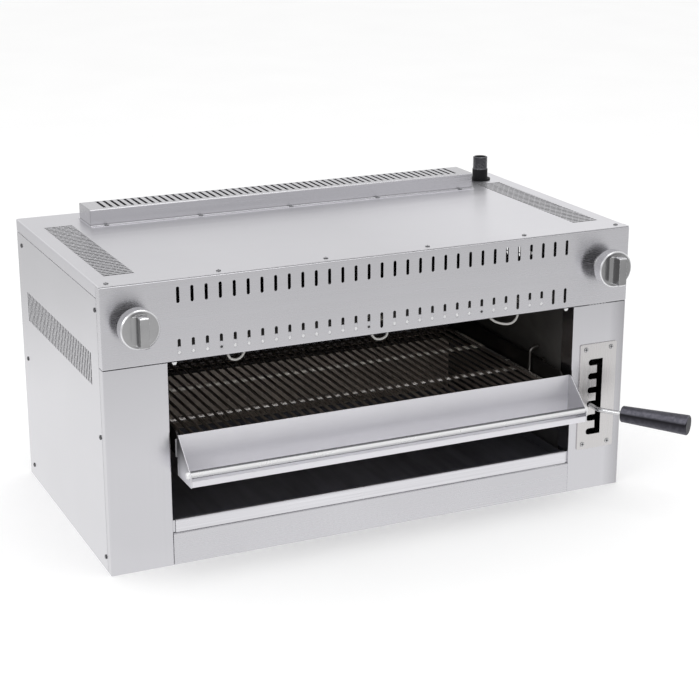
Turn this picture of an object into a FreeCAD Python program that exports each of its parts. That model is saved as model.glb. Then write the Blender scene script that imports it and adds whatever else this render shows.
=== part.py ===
"""A gas salamander grill: a wide open-fronted casing with two ceiling burners, a rack that a side lever lifts
through six notches on a parallel linkage, a pull-out drip trough and crumb tray, and two push-and-turn knobs.

Millimetres. X runs along the front to the right, Y from the front to the back, Z up.
The origin is the centre of the base, on the surface that the grill stands on.
"""
import FreeCAD, Part
import math
import os

os.makedirs("parts", exist_ok=True)
Vec = FreeCAD.Vector

# Casing
casing_width = 900.0
casing_depth = 470.0
casing_height = 452.0
sheet = 1.2
bend = 1.0
fascia_height = 127.0
column_width = 100.0
low_panel_height = 52.0
seam = 0.5
touch = 0.1
front_wrap = 18.0
wrap_gap = 1.0
lid_gap = 1.0
lid_setback = 1.2
edge_round = 1.5
column_return = 34.0
fascia_top_return = 28.0
fascia_low_return = 10.0
side_flange = 18.0
lid_drop = 20.0
base_flange = 34.0
post_width = 15.0
post_depth = 32.0
foot_hole_radius = 4.5
foot_hole_inset_x = 70.0
foot_hole_inset_y = 45.0

# Slots of the fascia
slot_count = 31
slot_pitch = 22.1
slot_width = 5.0
slot_length = 25.0
upper_slot_drop = 24.5
lower_slot_drop = 104.5
strip_height = 23.0
strip_notch_width = 13.0
strip_notch_slots = (15, 26, 29, 30)

# Vents pressed in the lid and the sides
vent_slot_width = 4.4
vent_pitch = 9.0
lid_vent_inset = 25.0
lid_vent_width = 47.0
lid_vent_front = 56.0
lid_vent_back = 81.0
side_vent_low = 288.0
side_vent_height = 50.0
side_vent_front = 55.0
side_vent_back = 46.0

# Flue cover
flue_width = 708.0
flue_back = 46.0
flue_depth = 62.0
flue_opening_inset = 6.0
flue_height = 28.0
flue_flange = 9.0
flue_slot_count = 55
flue_slot_pitch = 12.05
flue_slot_width = 5.0
flue_slot_length = 48.5
flue_slot_back = 3.5

# Screws of the casing
screw_head_radius = 3.6
screw_head_height = 1.9
screw_radius = 1.7
screw_length = 5.0
side_screw_inset = 26.0
side_screw_low = 22.0
side_screw_middle = 215.0
side_screw_drop = 40.0
lid_screw_inset_x = 16.0
lid_screw_inset_y = 17.0
lid_screw_pitch = 174.0
flue_screw_pitch = 164.0

# Gas inlet, pipe and valves
inlet_inset_x = 46.0
inlet_inset_y = 47.0
inlet_radius = 13.9
inlet_thread_radius = 13.2
inlet_thread_length = 22.0
inlet_bore = 10.1
inlet_rise = 43.0
inlet_depth = 32.0
inlet_engaged = 22.0
inlet_flange_radius = 19.0
inlet_flange_height = 3.0
pipe_radius = 10.0
pipe_bend = 26.0
valve_width = 34.0
valve_height = 36.0
valve_length = 46.0
valve_neck_radius = 9.0
valve_neck_out = 3.0
valve_nut_height = 4.0
valve_nut_radius = 14.0
valve_bore = 8.0
valve_cap_height = 3.0
plug_length = 34.0
stem_radius = 4.0
stem_in_plug = 18.0
supply_radius = 4.0
supply_bend = 14.0
injector_radius = 7.0
injector_length = 16.0

# Knobs
knob_inset = 48.0
knob_drop = 59.2
bezel_radius = 17.0
bezel_height = 2.5
knob_gap = 4.0
knob_hub_radius = 14.0
knob_hub_length = 13.5
knob_radius = 30.0
knob_body_length = 18.5
knob_bar_height = 20.5
knob_chamfer = 1.5
knob_bar = 13.5
knob_bar_length = 47.0
knob_scoop_radius = 7.0
knob_stem_depth = 30.0
push_travel = 3.0

# Cavity
cavity_back_gap = 37.0
ceiling_rise = 6.0
cavity_foot = 17.0
fume_hole_count = 10
fume_hole_pitch = 62.0
fume_hole_width = 46.0
fume_hole_height = 14.0
fume_hole_drop = 22.0
cavity_front = 25.0
ceiling_front = 40.0
ceiling_upstand = 20.0

# Burners
burner_width = 300.0
burner_depth = 280.0
burner_height = 40.0
burner_centre_x = 175.0
burner_centre_y = -10.0
tile_drop = 2.5
tile_height = 12.0
tile_columns = 3
tile_rows = 2
tile_gap = 0.5
tile_chamfer = 2.0
mixer_radius = 14.0
mixer_mouth_radius = 19.0
mixer_length = 16.0

# Selector plate and its notches
plate_width = 70.0
plate_height = 185.0
plate_bottom = 73.0
plate_thickness = 2.0
plate_corner = 3.0
plate_screw_x = 24.3
plate_screw_z = 83.5
plate_screw_radius = 4.0
plate_screw_crown = 1.0
notch_count = 6
notch_pitch = 24.4
notch_low = 103.6
notch_height = 11.0
notch_offset = 13.0
channel_offset = 3.5
channel_width = 11.0
window_margin = 6.0
lever_notch_index = 2

# Lift linkage
pivot_back_gap = 13.0
pivot_z = 205.0
arm_length = 335.0
link_drop = 43.0
arm_thickness = 5.0
arm_height = 12.0
arm_eye = 11.0
lift_shaft_radius = 6.0
link_shaft_radius = 5.0
bush_wall = 3.0
bush_flange = 3.5
bush_flange_height = 1.8
bush_length = 8.0
pin_radius = 4.0
pin_head_radius = 6.5
pin_head_height = 1.8
running_fit = 0.05
weld_gap = 0.02
arm_wall_gap = 4.2
carrier_arm_gap = 4.0
side_play = 0.3

# Lever
hub_radius = 14.0
hub_length = 22.0
hub_wall = 6.0
hub_socket_radius = 8.0
hub_socket_length = 38.0
lever_radius = 4.0
lever_straight_front = 30.0
lever_straight_back = 30.0
lever_neck = 40.0
lever_turn_degrees = 38.5
lever_dip_degrees = 0.9
lever_rest_drop = 0.9
lever_bend = 22.0
lever_sweep = 60.0
grip_length = 113.0
grip_small_radius = 13.6
grip_large_radius = 16.7
grip_edge = 1.5
grip_socket = 60.0

# Carriers of the rack
carrier_bottom = 174.0
carrier_height = 40.0
carrier_thickness = 3.0
carrier_front_gap = 6.0
carrier_back_gap = 20.0
carrier_corner = 12.0
carrier_tab_width = 26.0
carrier_front_tab = 6.0
carrier_front_tab_depth = 2.5
carrier_front_tab_height = 28.0
ledge_width = 15.0
ledge_thickness = 1.5
finger_radius = 3.0
finger_behind_pin = 19.0
finger_height = 38.0
finger_bend = 7.0
finger_reach = 14.5
finger_rise = 4.0

# Rack
rack_level = 184.0
rack_rod_radius = 4.0
rack_cross_radius = 3.7
rack_corner_bend = 9.0
rack_bar_radius = 2.5
rack_bar_pitch = 15.7
rack_bar_count = 41
rack_side_gap = 2.0
rack_back_gap = 25.0
rack_cross_rods = (135.0, 273.0)
rest_gap = 0.3

# Trough at the front of the rack
trough_width = 684.0
trough_front_gap = 6.0
trough_depth = 58.0
trough_bottom = 148.0
trough_height = 64.0
trough_lip = 10.0
trough_cheek_front = 19.0
handle_radius = 6.0
handle_level = 166.0
handle_setback = 1.5
handle_pin_radius = 3.0
handle_head_radius = 5.5
handle_head_height = 4.5

# Crumb tray
tray_side_gap = 4.5
tray_setback = 2.0
tray_back_gap = 43.0
tray_height = 20.7
tray_wall_height = 17.0
tray_hem = 7.0
tray_corner = 3.0
guide_height = 12.0

# Ignition leads: for each one its x at the terminal and at the igniter, the depth of its loop and its bend
lead_radius = 1.9
lead_behind_fascia = 14.0
lead_end_bend = 12.9
lead_loops = {
    "left": (-250.0, -216.0, 13.0, 16.9),
    "middle": (-17.0, 14.0, 12.0, 15.4),
    "right": (197.0, 257.0, 16.0, 18.0),
}
terminal_level = 40.0
terminal_height = 18.0
terminal_width = 14.0
terminal_behind = 5.0
igniter_radius = 4.0
igniter_front = 13.0
igniter_length = 34.0
igniter_tip_radius = 1.2
igniter_tip_length = 14.0

# Planes and centres worked out from the sizes above
x_side = casing_width / 2
y_front = -casing_depth / 2
y_back = casing_depth / 2
y_flue = y_back - flue_back - flue_depth
z_fascia = casing_height - fascia_height
z_lid = casing_height - sheet
y_wrap = y_front + front_wrap
y_inside = y_front + sheet
z_ceiling = z_fascia + ceiling_rise
x_open = x_side - column_width
side_screw_levels = (side_screw_low, side_screw_middle, casing_height - side_screw_drop)
x_wall = x_open + sheet
y_cavity_back = y_back - cavity_back_gap
y_cavity_front = y_front + cavity_front
y_ceiling_front = y_front + ceiling_front
pivot_y = y_cavity_back - pivot_back_gap
z_lid_flange = casing_height - lid_drop
z_knob = casing_height - knob_drop
x_knob = x_side - knob_inset
x_column = x_side - column_width / 2
x_notch = x_column - notch_offset
x_channel = x_column + channel_offset
z_lever = notch_low + lever_notch_index * notch_pitch - lever_rest_drop
z_notch_top = notch_low + (notch_count - 1) * notch_pitch
z_link = pivot_z - link_drop
y_pin = pivot_y - arm_length
x_arm = x_wall - arm_wall_gap - arm_thickness
x_carrier = x_arm - carrier_arm_gap - carrier_thickness
x_rack = x_carrier - rack_side_gap - rack_rod_radius
y_rack_front = y_front - trough_front_gap + rack_rod_radius + weld_gap
y_rack_back = pivot_y - rack_back_gap - rack_rod_radius
z_ledge = rack_level - rack_rod_radius - rest_gap
x_inlet = x_side - inlet_inset_x
y_inlet = y_back - inlet_inset_y
y_valve_back = y_inside + valve_nut_height + valve_length
y_lead = y_front + lead_behind_fascia
y_pipe = y_valve_back + valve_cap_height + pipe_radius + weld_gap


def block(x0, x1, y0, y1, z0, z1):
    """A box between three pairs of planes."""
    return Part.makeBox(x1 - x0, y1 - y0, z1 - z0, Vec(x0, y0, z0))


def rod(start, end, radius):
    """A round bar between two points."""
    axis = end.sub(start)
    return Part.makeCylinder(radius, axis.Length, start, axis)


def tube(start, end, radius, bore):
    """A round bar with a round bore through it."""
    return rod(start, end, radius).cut(rod(start, end, bore))


def mirrored(shape):
    """The same piece on the other side of the casing's middle plane."""
    return shape.mirror(Vec(0, 0, 0), Vec(1, 0, 0))


def placed(plane, u, v, w):
    """The point at (u, v) in a plane named by its two axes, at height w along the third."""
    return {"xy": Vec(u, v, w), "xz": Vec(u, w, v), "yz": Vec(w, u, v)}[plane]


def drawn_out(plane, edges, start, length):
    """A closed outline in a plane, drawn out along the third axis."""
    face = Part.Face(Part.Wire(edges))
    step = placed(plane, 0, 0, length)
    moved = face.translated(placed(plane, 0, 0, start))
    return moved.extrude(step)


def outline(plane, points, start, length):
    """A straight-sided outline drawn out along the third axis."""
    corners = [placed(plane, u, v, 0) for u, v in points]
    edges = [Part.LineSegment(a, b).toShape() for a, b in zip(corners, corners[1:] + corners[:1])]
    return drawn_out(plane, edges, start, length)


def stadium(plane, u, v, length_u, length_v, start, depth):
    """A slot with round ends along its longer side, centred at (u, v)."""
    radius = min(length_u, length_v) / 2
    reach_u = length_u / 2 - radius
    reach_v = length_v / 2 - radius
    if length_u > length_v:
        ends = ((u + reach_u, v, 0.0), (u - reach_u, v, math.pi))
    else:
        ends = ((u, v + reach_v, math.pi / 2), (u, v - reach_v, math.pi * 1.5))
    arcs = []
    for cu, cv, heading in ends:
        turn = [
            placed(plane, cu + radius * math.cos(heading + a), cv + radius * math.sin(heading + a), 0)
            for a in (-math.pi / 2, 0, math.pi / 2)
        ]
        arcs.append((turn, Part.Arc(*turn).toShape()))
    (first, first_arc), (second, second_arc) = arcs
    edges = [
        first_arc,
        Part.LineSegment(first[2], second[0]).toShape(),
        second_arc,
        Part.LineSegment(second[2], first[0]).toShape(),
    ]
    return drawn_out(plane, edges, start, depth)


def folded(plane, points, start, length, thickness=sheet, inner=bend):
    """A sheet folded along a line of points through the middle of its thickness."""
    mid = inner + thickness / 2
    path = [FreeCAD.Vector(u, v, 0) for u, v in points]
    headings = [b.sub(a).normalize() for a, b in zip(path, path[1:])]
    normals = [Vec(-h.y, h.x, 0) for h in headings]
    sides = []
    for side in (thickness / 2, -thickness / 2):
        spots = [path[0] + normals[0] * side]
        edges = []
        for i in range(1, len(headings)):
            before, after = headings[i - 1], headings[i]
            cross = before.x * after.y - before.y * after.x
            turn = 1.0 if cross > 0 else -1.0
            setback = mid * math.tan(before.getAngle(after) / 2)
            centre = path[i] - before * setback + normals[i - 1] * (turn * mid)
            middle = (normals[i - 1] + normals[i]).normalize()
            radius = turn * (mid - turn * side)
            arc = [
                path[i] - before * setback + normals[i - 1] * side,
                centre - middle * radius,
                path[i] + after * setback + normals[i] * side,
            ]
            edges.append((spots[-1], arc[0]))
            edges.append(tuple(arc))
            spots.append(arc[2])
        edges.append((spots[-1], path[-1] + normals[-1] * side))
        sides.append(edges)
    left, right = sides
    loop = list(left) + [(left[-1][-1], right[-1][-1])]
    loop += [tuple(reversed(run)) for run in reversed(right)] + [(right[0][0], left[0][0])]
    shapes = []
    for run in loop:
        ends = [placed(plane, p.x, p.y, 0) for p in run]
        curve = Part.Arc(*ends) if len(ends) == 3 else Part.LineSegment(*ends)
        shapes.append(curve.toShape())
    return drawn_out(plane, shapes, start, length)


def bent_wire(points, radii):
    """A path of straight runs joined by tangent arcs, with one radius for each corner."""
    edges = []
    last = points[0]
    for before, corner, after, radius in zip(points, points[1:], points[2:], radii):
        way_in = corner.sub(before).normalize()
        way_out = after.sub(corner).normalize()
        half = way_in.getAngle(way_out) / 2
        setback = radius * math.tan(half)
        enter = corner - way_in * setback
        leave = corner + way_out * setback
        inward = (way_out - way_in).normalize()
        middle = corner + inward * (radius / math.cos(half) - radius)
        edges.append(Part.LineSegment(last, enter).toShape())
        edges.append(Part.Arc(enter, middle, leave).toShape())
        last = leave
    edges.append(Part.LineSegment(last, points[-1]).toShape())
    return Part.Wire(edges)


def bent_rod(points, rod_radius, radii):
    """A round bar along a path with rounded corners."""
    path = bent_wire(points, radii)
    heading = points[1].sub(points[0])
    ring = Part.Wire(Part.makeCircle(rod_radius, points[0], heading))
    return path.makePipeShell([ring], True, False, 2)


def screw(point, way_out):
    """A low pan-head screw whose head sits at a point and faces the way out."""
    rise = screw_head_height / 2
    head = Part.makeCylinder(screw_head_radius, rise, point, way_out)
    crown = Part.makeCone(screw_head_radius, screw_head_radius * 0.55, rise, point + way_out * rise, way_out)
    shank = rod(point - way_out * screw_length, point, screw_radius)
    return head.fuse(crown).fuse(shank).removeSplitter()


def screw_hole(point, way_out):
    """The clearance hole for a casing screw, through one or two sheets."""
    return rod(point - way_out * (screw_length + 2), point + way_out * 2, screw_radius + running_fit * 2)


def side_screw_points():
    """The places of the screws in the right side panel."""
    return [
        Vec(x_side, y, z)
        for z in side_screw_levels
        for y in (y_front + side_screw_inset, y_back - side_screw_inset)
    ]


def lid_screw_points():
    """The places of the screws along the front edge of the lid."""
    y = y_front + lid_screw_inset_y
    corner = x_side - lid_screw_inset_x
    return [Vec(x, y, casing_height) for x in (-corner, corner)] + [
        Vec(lid_screw_pitch * (i - 1.5), y, casing_height) for i in range(4)
    ]


def flue_screw_points():
    """The places of the screws along the front flange of the flue cover."""
    y = y_flue - flue_flange / 2
    return [Vec(flue_screw_pitch * (i - 2), y, casing_height + sheet) for i in range(5)]


def back_screw_points():
    """The places of the screws of the back panel."""
    x = x_side - sheet - side_flange / 2
    return [Vec(side * x, y_back, z) for side in (-1, 1) for z in side_screw_levels[:2]]


def make_casing_screws():
    """Every pan-head screw of the casing, as separate solids."""
    right = [screw(p, Vec(1, 0, 0)) for p in side_screw_points()]
    left = [mirrored(s) for s in right]
    top = [screw(p, Vec(0, 0, 1)) for p in lid_screw_points() + flue_screw_points()]
    back = [screw(p, Vec(0, 1, 0)) for p in back_screw_points()]
    return Part.makeCompound(right + left + top + back)


def make_base_pan():
    """The bottom pan: rims turned up, four holes for a bracket or legs, and notches for the columns."""
    half_x = x_side - sheet - touch
    front, back = y_inside + touch, y_back - sheet - touch
    mid = sheet / 2
    pan = folded(
        "xz",
        [
            (-half_x + mid, base_flange),
            (-half_x + mid, mid),
            (half_x - mid, mid),
            (half_x - mid, base_flange),
        ],
        front,
        back - front,
    )
    rim_x = half_x - sheet - bend
    for y in (front, back - sheet):
        pan = pan.fuse(block(-rim_x, rim_x, y, y + sheet, 0, base_flange))
    holes = []
    for x in (-x_side + foot_hole_inset_x, x_side - foot_hole_inset_x):
        for y in (y_front + foot_hole_inset_y, y_back - foot_hole_inset_y):
            holes.append(rod(Vec(x, y, -1), Vec(x, y, sheet + 1), foot_hole_radius))
    inner, outer = x_open - touch, x_wall + bend + touch
    return_notch = block(inner, outer, front - 1, y_front + column_return + touch, -1, base_flange + 1)
    fold = bend + touch
    corner_notch = block(half_x - fold, half_x + 1, front - 1, front + fold, -1, base_flange + 1)
    for notch in (return_notch, corner_notch):
        holes += [notch, mirrored(notch)]
    low_screws = [p for p in side_screw_points() if p.z < base_flange]
    holes += [screw_hole(p, Vec(1, 0, 0)) for p in low_screws]
    holes += [mirrored(screw_hole(p, Vec(1, 0, 0))) for p in low_screws]
    low_back = [p for p in back_screw_points() if p.z < base_flange]
    holes += [screw_hole(p, Vec(0, 1, 0)) for p in low_back]
    return pan.cut(holes).removeSplitter()


def vent_count(front_margin, back_margin):
    """How many vent slots fit between two margins along the depth."""
    return int((casing_depth - front_margin - back_margin) / vent_pitch + sheet / vent_pitch)


def make_side_panel():
    """The right side panel: a sheet with its front, back and top edges folded in, and a pressed vent."""
    mid = sheet / 2
    skin = x_side - mid
    front, back = y_wrap + touch + mid, y_back - sheet - mid - touch
    flange = x_side - side_flange
    low = base_flange + 1
    top = z_lid_flange - lid_gap
    wall = block(x_side - sheet, x_side, y_wrap + touch, y_back, 0, top)
    folds = folded("xy", [(flange, front), (skin, front), (skin, back), (flange, back)], low, top - low)
    shelf = block(flange, x_side - sheet, front + mid, back - mid, top - sheet, top)
    panel = wall.fuse([folds, shelf]).removeSplitter()
    edge = vent_slot_width / 2
    vent_top = side_vent_low + side_vent_height
    holes = []
    for i in range(vent_count(side_vent_front, side_vent_back)):
        y = y_front + side_vent_front + vent_pitch * (i + 0.5)
        holes.append(block(x_side - 2 * sheet, x_side + 1, y - edge, y + edge, side_vent_low, vent_top))
    holes += [screw_hole(p, Vec(1, 0, 0)) for p in side_screw_points()]
    holes += [screw_hole(p, Vec(0, 1, 0)) for p in back_screw_points()]
    return panel.cut(holes)


def make_corner_posts():
    """The four angle posts inside the corners that the side panels are screwed to."""
    mid = sheet / 2
    skin = x_side - sheet - touch - mid
    low, high = base_flange + 1, z_lid_flange - lid_gap - sheet - touch
    posts = []
    for edge, turn in ((y_wrap + sheet + 2 * touch, 1), (y_back - 2 * sheet - 2 * touch, -1)):
        leg = edge + turn * mid
        angle = [(skin - post_width, leg), (skin, leg), (skin, leg + turn * post_depth)]
        posts.append(folded("xy", angle, low, high - low))
    holes = [screw_hole(p, Vec(1, 0, 0)) for p in side_screw_points()]
    holes += [screw_hole(p, Vec(0, 1, 0)) for p in back_screw_points()]
    posts = [p.cut(holes) for p in posts]
    return Part.makeCompound(posts + [mirrored(p) for p in posts])


def make_back_panel():
    """The flat back panel, between the two side panels."""
    half_x = x_side - sheet - touch
    plate = block(-half_x, half_x, y_back - sheet, y_back, 0, z_lid_flange - lid_gap)
    return plate.cut([screw_hole(p, Vec(0, 1, 0)) for p in back_screw_points()])


def make_lid():
    """The top panel, folded down over the sides and back, with its vents, flue opening and pipe hole."""
    mid = sheet / 2
    skin = x_side - mid
    lid = folded(
        "xz",
        [
            (-skin, z_lid_flange),
            (-skin, casing_height - mid),
            (skin, casing_height - mid),
            (skin, z_lid_flange),
        ],
        y_wrap,
        y_back - y_wrap,
    )
    front = block(-x_side, x_side, y_front + lid_setback, y_wrap, z_lid, casing_height)
    tail_x = x_side - sheet - touch
    tail = block(-tail_x, tail_x, y_back - sheet, y_back, z_lid_flange, z_lid)
    lid = lid.fuse([front, tail]).removeSplitter()
    holes = [screw_hole(p, Vec(0, 0, 1)) for p in lid_screw_points() + flue_screw_points()]
    edge = vent_slot_width / 2
    outer = x_side - lid_vent_inset
    for i in range(vent_count(lid_vent_front, lid_vent_back)):
        y = y_front + lid_vent_front + vent_pitch * (i + 0.5)
        slot = block(outer - lid_vent_width, outer, y - edge, y + edge, z_lid - 1, casing_height + 1)
        holes += [slot, mirrored(slot)]
    flue_x = flue_width / 2 - flue_flange
    near, far = y_flue + flue_opening_inset, y_flue + flue_depth - flue_opening_inset
    holes.append(block(-flue_x, flue_x, near, far, z_lid - sheet, casing_height + sheet))
    pipe = Vec(x_inlet, y_inlet, z_lid - 1)
    holes.append(rod(pipe, pipe + Vec(0, 0, 4), inlet_radius + running_fit * 4))
    return lid.cut(holes)


def make_fascia():
    """The control panel across the top of the front, with two rows of slots and the holes for the valves."""
    mid = sheet / 2
    face = y_front + mid
    half_x = x_side - sheet
    panel = folded(
        "yz",
        [
            (y_front + fascia_top_return, z_lid - mid - touch),
            (face, z_lid - mid - touch),
            (face, z_fascia + mid + seam),
            (y_front + fascia_low_return, z_fascia + mid + seam),
        ],
        -half_x,
        2 * half_x,
    )
    wrap = block(half_x, x_side, y_front, y_wrap - wrap_gap, z_fascia + seam, z_lid - touch)
    across = [e for e in wrap.Edges if e.BoundBox.XLength > sheet / 2 and e.BoundBox.YMax < y_front + touch]
    wrap = wrap.makeFillet(bend + sheet, across)
    panel = panel.fuse([wrap, mirrored(wrap)]).removeSplitter()
    corners = [
        e
        for e in panel.Edges
        if e.BoundBox.ZLength > fascia_height / 2
        and abs(abs(e.BoundBox.Center.x) - x_side) < 0.01
        and abs(e.BoundBox.Center.y - y_front) < 0.01
    ]
    panel = panel.makeFillet(min(edge_round, sheet), corners)
    holes = []
    for i in range(slot_count):
        x = slot_pitch * (i - (slot_count - 1) / 2)
        for drop in (upper_slot_drop, lower_slot_drop):
            z = casing_height - drop
            holes.append(stadium("xz", x, z, slot_width, slot_length, y_front - 1, sheet + 2))
    lid_fold = x_side - sheet - bend - touch
    post_fold = x_side - side_flange - touch
    for x0, z0, z1 in ((lid_fold, z_lid - 3 * sheet, z_lid), (post_fold, z_fascia, z_fascia + 3 * sheet)):
        corner = block(x0, x_side, y_wrap - touch, y_front + fascia_top_return + 1, z0, z1)
        holes += [corner, mirrored(corner)]
    neck = rod(Vec(x_knob, y_front - 1, z_knob), Vec(x_knob, y_inside + 1, z_knob), valve_neck_radius + 0.2)
    holes += [neck, mirrored(neck)]
    holes += [screw_hole(p, Vec(0, 0, 1)) for p in lid_screw_points()]
    return panel.cut(holes)


def make_slot_strip():
    """The strip welded behind the lower row of slots, notched where the ignition leads pass."""
    half_x = slot_pitch * slot_count / 2
    low = z_fascia + seam + sheet + bend
    high = z_fascia + strip_height
    strip = block(-half_x, half_x, y_inside, y_inside + sheet, low, high)
    notches = []
    for i in strip_notch_slots:
        x = slot_pitch * (i - (slot_count - 1) / 2)
        edge = strip_notch_width / 2
        notches.append(block(x - edge, x + edge, y_inside - 1, y_inside + 2 * sheet, low + 4, high + 1))
    return strip.cut(notches)


def column_shape():
    """The right front column, folded round the side and into the opening."""
    mid = sheet / 2
    return folded(
        "xy",
        [
            (x_side - mid, y_wrap - wrap_gap),
            (x_side - mid, y_front + mid),
            (x_open + mid, y_front + mid),
            (x_open + mid, y_front + column_return),
        ],
        0,
        z_fascia,
    )


def plate_centre():
    """The middle of the selector plate."""
    return x_column, plate_bottom + plate_height / 2


def plate_screw_points():
    """The places of the four countersunk screws of the selector plate."""
    x, z = plate_centre()
    return [(x + i * plate_screw_x, z + j * plate_screw_z) for i in (-1, 1) for j in (-1, 1)]


def make_column_right():
    """The right column, with the window behind the selector plate."""
    window = block(
        x_notch - notch_height / 2 - window_margin,
        x_channel + channel_width / 2 + window_margin,
        y_front - 1,
        y_inside + 1,
        notch_low - notch_height / 2 - window_margin,
        z_notch_top + notch_height / 2 + window_margin,
    )
    holes = [
        rod(Vec(x, y_front - 1, z), Vec(x, y_inside + 1, z), screw_radius + touch)
        for x, z in plate_screw_points()
    ]
    return column_shape().cut([window] + holes)


def make_low_panel():
    """The low front panel under the crumb tray, folded back at its top."""
    mid = sheet / 2
    top = low_panel_height - mid
    return folded(
        "yz",
        [(y_front + column_return, top), (y_front + mid, top), (y_front + mid, 0)],
        -x_open + touch,
        2 * (x_open - touch),
    )


def make_selector_plate():
    """The thick plate that locks the lever: a channel with six notches open to it."""
    x, z = plate_centre()
    half_x, half_z = plate_width / 2, plate_height / 2
    front = y_front - plate_thickness
    plate = block(x - half_x, x + half_x, front, y_front, z - half_z, z + half_z)
    corners = [e for e in plate.Edges if e.BoundBox.YLength > plate_thickness / 2]
    plate = plate.makeFillet(plate_corner, corners)
    low = notch_low - notch_height / 2
    high = z_notch_top + notch_height / 2
    half_channel = channel_width / 2
    cutter = block(x_channel - half_channel, x_channel + half_channel, front - 1, y_front + 1, low, high)
    reach = x_channel - x_notch + notch_height
    middle = x_notch + (reach - notch_height) / 2
    through = plate_thickness + 2
    notches = []
    for i in range(notch_count):
        level = notch_low + i * notch_pitch
        notches.append(stadium("xz", middle, level, reach, notch_height, front - 1, through))
    cutter = cutter.fuse(notches)
    inward = Vec(0, 1, 0)
    sinks = []
    for sx, sz in plate_screw_points():
        face = Vec(sx, front, sz)
        sinks.append(rod(face - inward, face + inward * through, screw_radius + touch))
        sinks.append(
            Part.makeCone(plate_screw_radius + touch, screw_radius + touch, plate_thickness, face, inward)
        )
    return plate.cut([cutter] + sinks)


def make_selector_screws():
    """Four raised countersunk screws in the selector plate."""
    front = y_front - plate_thickness
    inward = Vec(0, 1, 0)
    screws = []
    for x, z in plate_screw_points():
        middle = Vec(x, front, z)
        head = Part.makeCone(plate_screw_radius, screw_radius, plate_thickness, middle, inward)
        crown = Part.makeCone(
            plate_screw_radius, plate_screw_radius * 0.6, plate_screw_crown, middle, inward * -1
        )
        shank = rod(middle + inward * (plate_thickness / 2), middle + inward * screw_length, screw_radius)
        screws.append(head.fuse([crown, shank]))
    return Part.makeCompound(screws)


def make_cavity_wall():
    """The right wall of the cavity, standing on the base pan and carrying the ceiling."""
    mid = sheet / 2
    x = x_wall + mid
    wall = folded(
        "xz",
        [
            (x_wall + cavity_foot, sheet + mid + touch),
            (x, sheet + mid + touch),
            (x, z_ceiling - mid),
            (x_wall + cavity_foot, z_ceiling - mid),
        ],
        y_cavity_front,
        y_cavity_back - y_cavity_front,
    )
    holes = []
    for z, radius in ((pivot_z, lift_shaft_radius), (z_link, link_shaft_radius)):
        start = Vec(x_wall - 1, pivot_y, z)
        holes.append(rod(start, start + Vec(sheet + 2, 0, 0), radius + bush_wall + running_fit * 2))
    return wall.cut(holes)


def make_cavity_back():
    """The back wall of the cavity, with the openings that the fumes leave by."""
    mid = sheet / 2
    y = y_cavity_back + mid + touch
    wall = folded(
        "yz",
        [
            (y + cavity_foot, sheet + mid + touch),
            (y, sheet + mid + touch),
            (y, z_ceiling - mid),
            (y + cavity_foot, z_ceiling - mid),
        ],
        -x_wall,
        2 * x_wall,
    )
    holes = []
    for i in range(fume_hole_count):
        x = fume_hole_pitch * (i - (fume_hole_count - 1) / 2)
        z = z_ceiling - fume_hole_drop
        holes.append(
            block(
                x - fume_hole_width / 2,
                x + fume_hole_width / 2,
                y_cavity_back - 1,
                y + sheet,
                z - fume_hole_height / 2,
                z + fume_hole_height / 2,
            )
        )
    return wall.cut(holes)


def make_cavity_floor():
    """The floor that the crumb tray slides on."""
    half_x = x_wall - touch
    front = y_front + column_return + touch
    return block(-half_x, half_x, front, y_cavity_back, low_panel_height - sheet, low_panel_height)


def make_tray_guides():
    """Two angles on the floor that keep the crumb tray straight."""
    inner = x_open - tray_side_gap + side_play
    back = y_cavity_back - tray_back_gap
    front = y_front + column_return + 6
    guide = folded(
        "xz",
        [
            (inner + sheet / 2, low_panel_height + guide_height),
            (inner + sheet / 2, low_panel_height + sheet / 2),
            (x_wall - touch, low_panel_height + sheet / 2),
        ],
        front,
        back - front,
    )
    return Part.makeCompound([guide, mirrored(guide)])


def burner_plan(inset):
    """The x and y limits of the right burner's box, less an inset all round."""
    return (
        burner_centre_x - burner_width / 2 + inset,
        burner_centre_x + burner_width / 2 - inset,
        burner_centre_y - burner_depth / 2 + inset,
        burner_centre_y + burner_depth / 2 - inset,
    )


def make_ceiling():
    """The sheet over the cavity, with an opening for each burner and an upstand at the front."""
    mid = sheet / 2
    half_x = x_wall + cavity_foot
    level = z_ceiling + mid
    ceiling = folded(
        "yz",
        [
            (y_ceiling_front + mid, level + ceiling_upstand),
            (y_ceiling_front + mid, level),
            (y_cavity_back + cavity_foot, level),
        ],
        -half_x,
        2 * half_x,
    )
    x0, x1, y0, y1 = burner_plan(sheet)
    hole = block(x0, x1, y0, y1, z_ceiling - 1, z_ceiling + sheet + 1)
    holes = [hole, mirrored(hole)]
    for _, x, _, _ in lead_loops.values():
        centre = igniter_centre(x)
        holes.append(rod(centre - Vec(0, 1, 0), centre + Vec(0, 3, 0), igniter_radius + running_fit))
    return ceiling.cut(holes)


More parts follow.
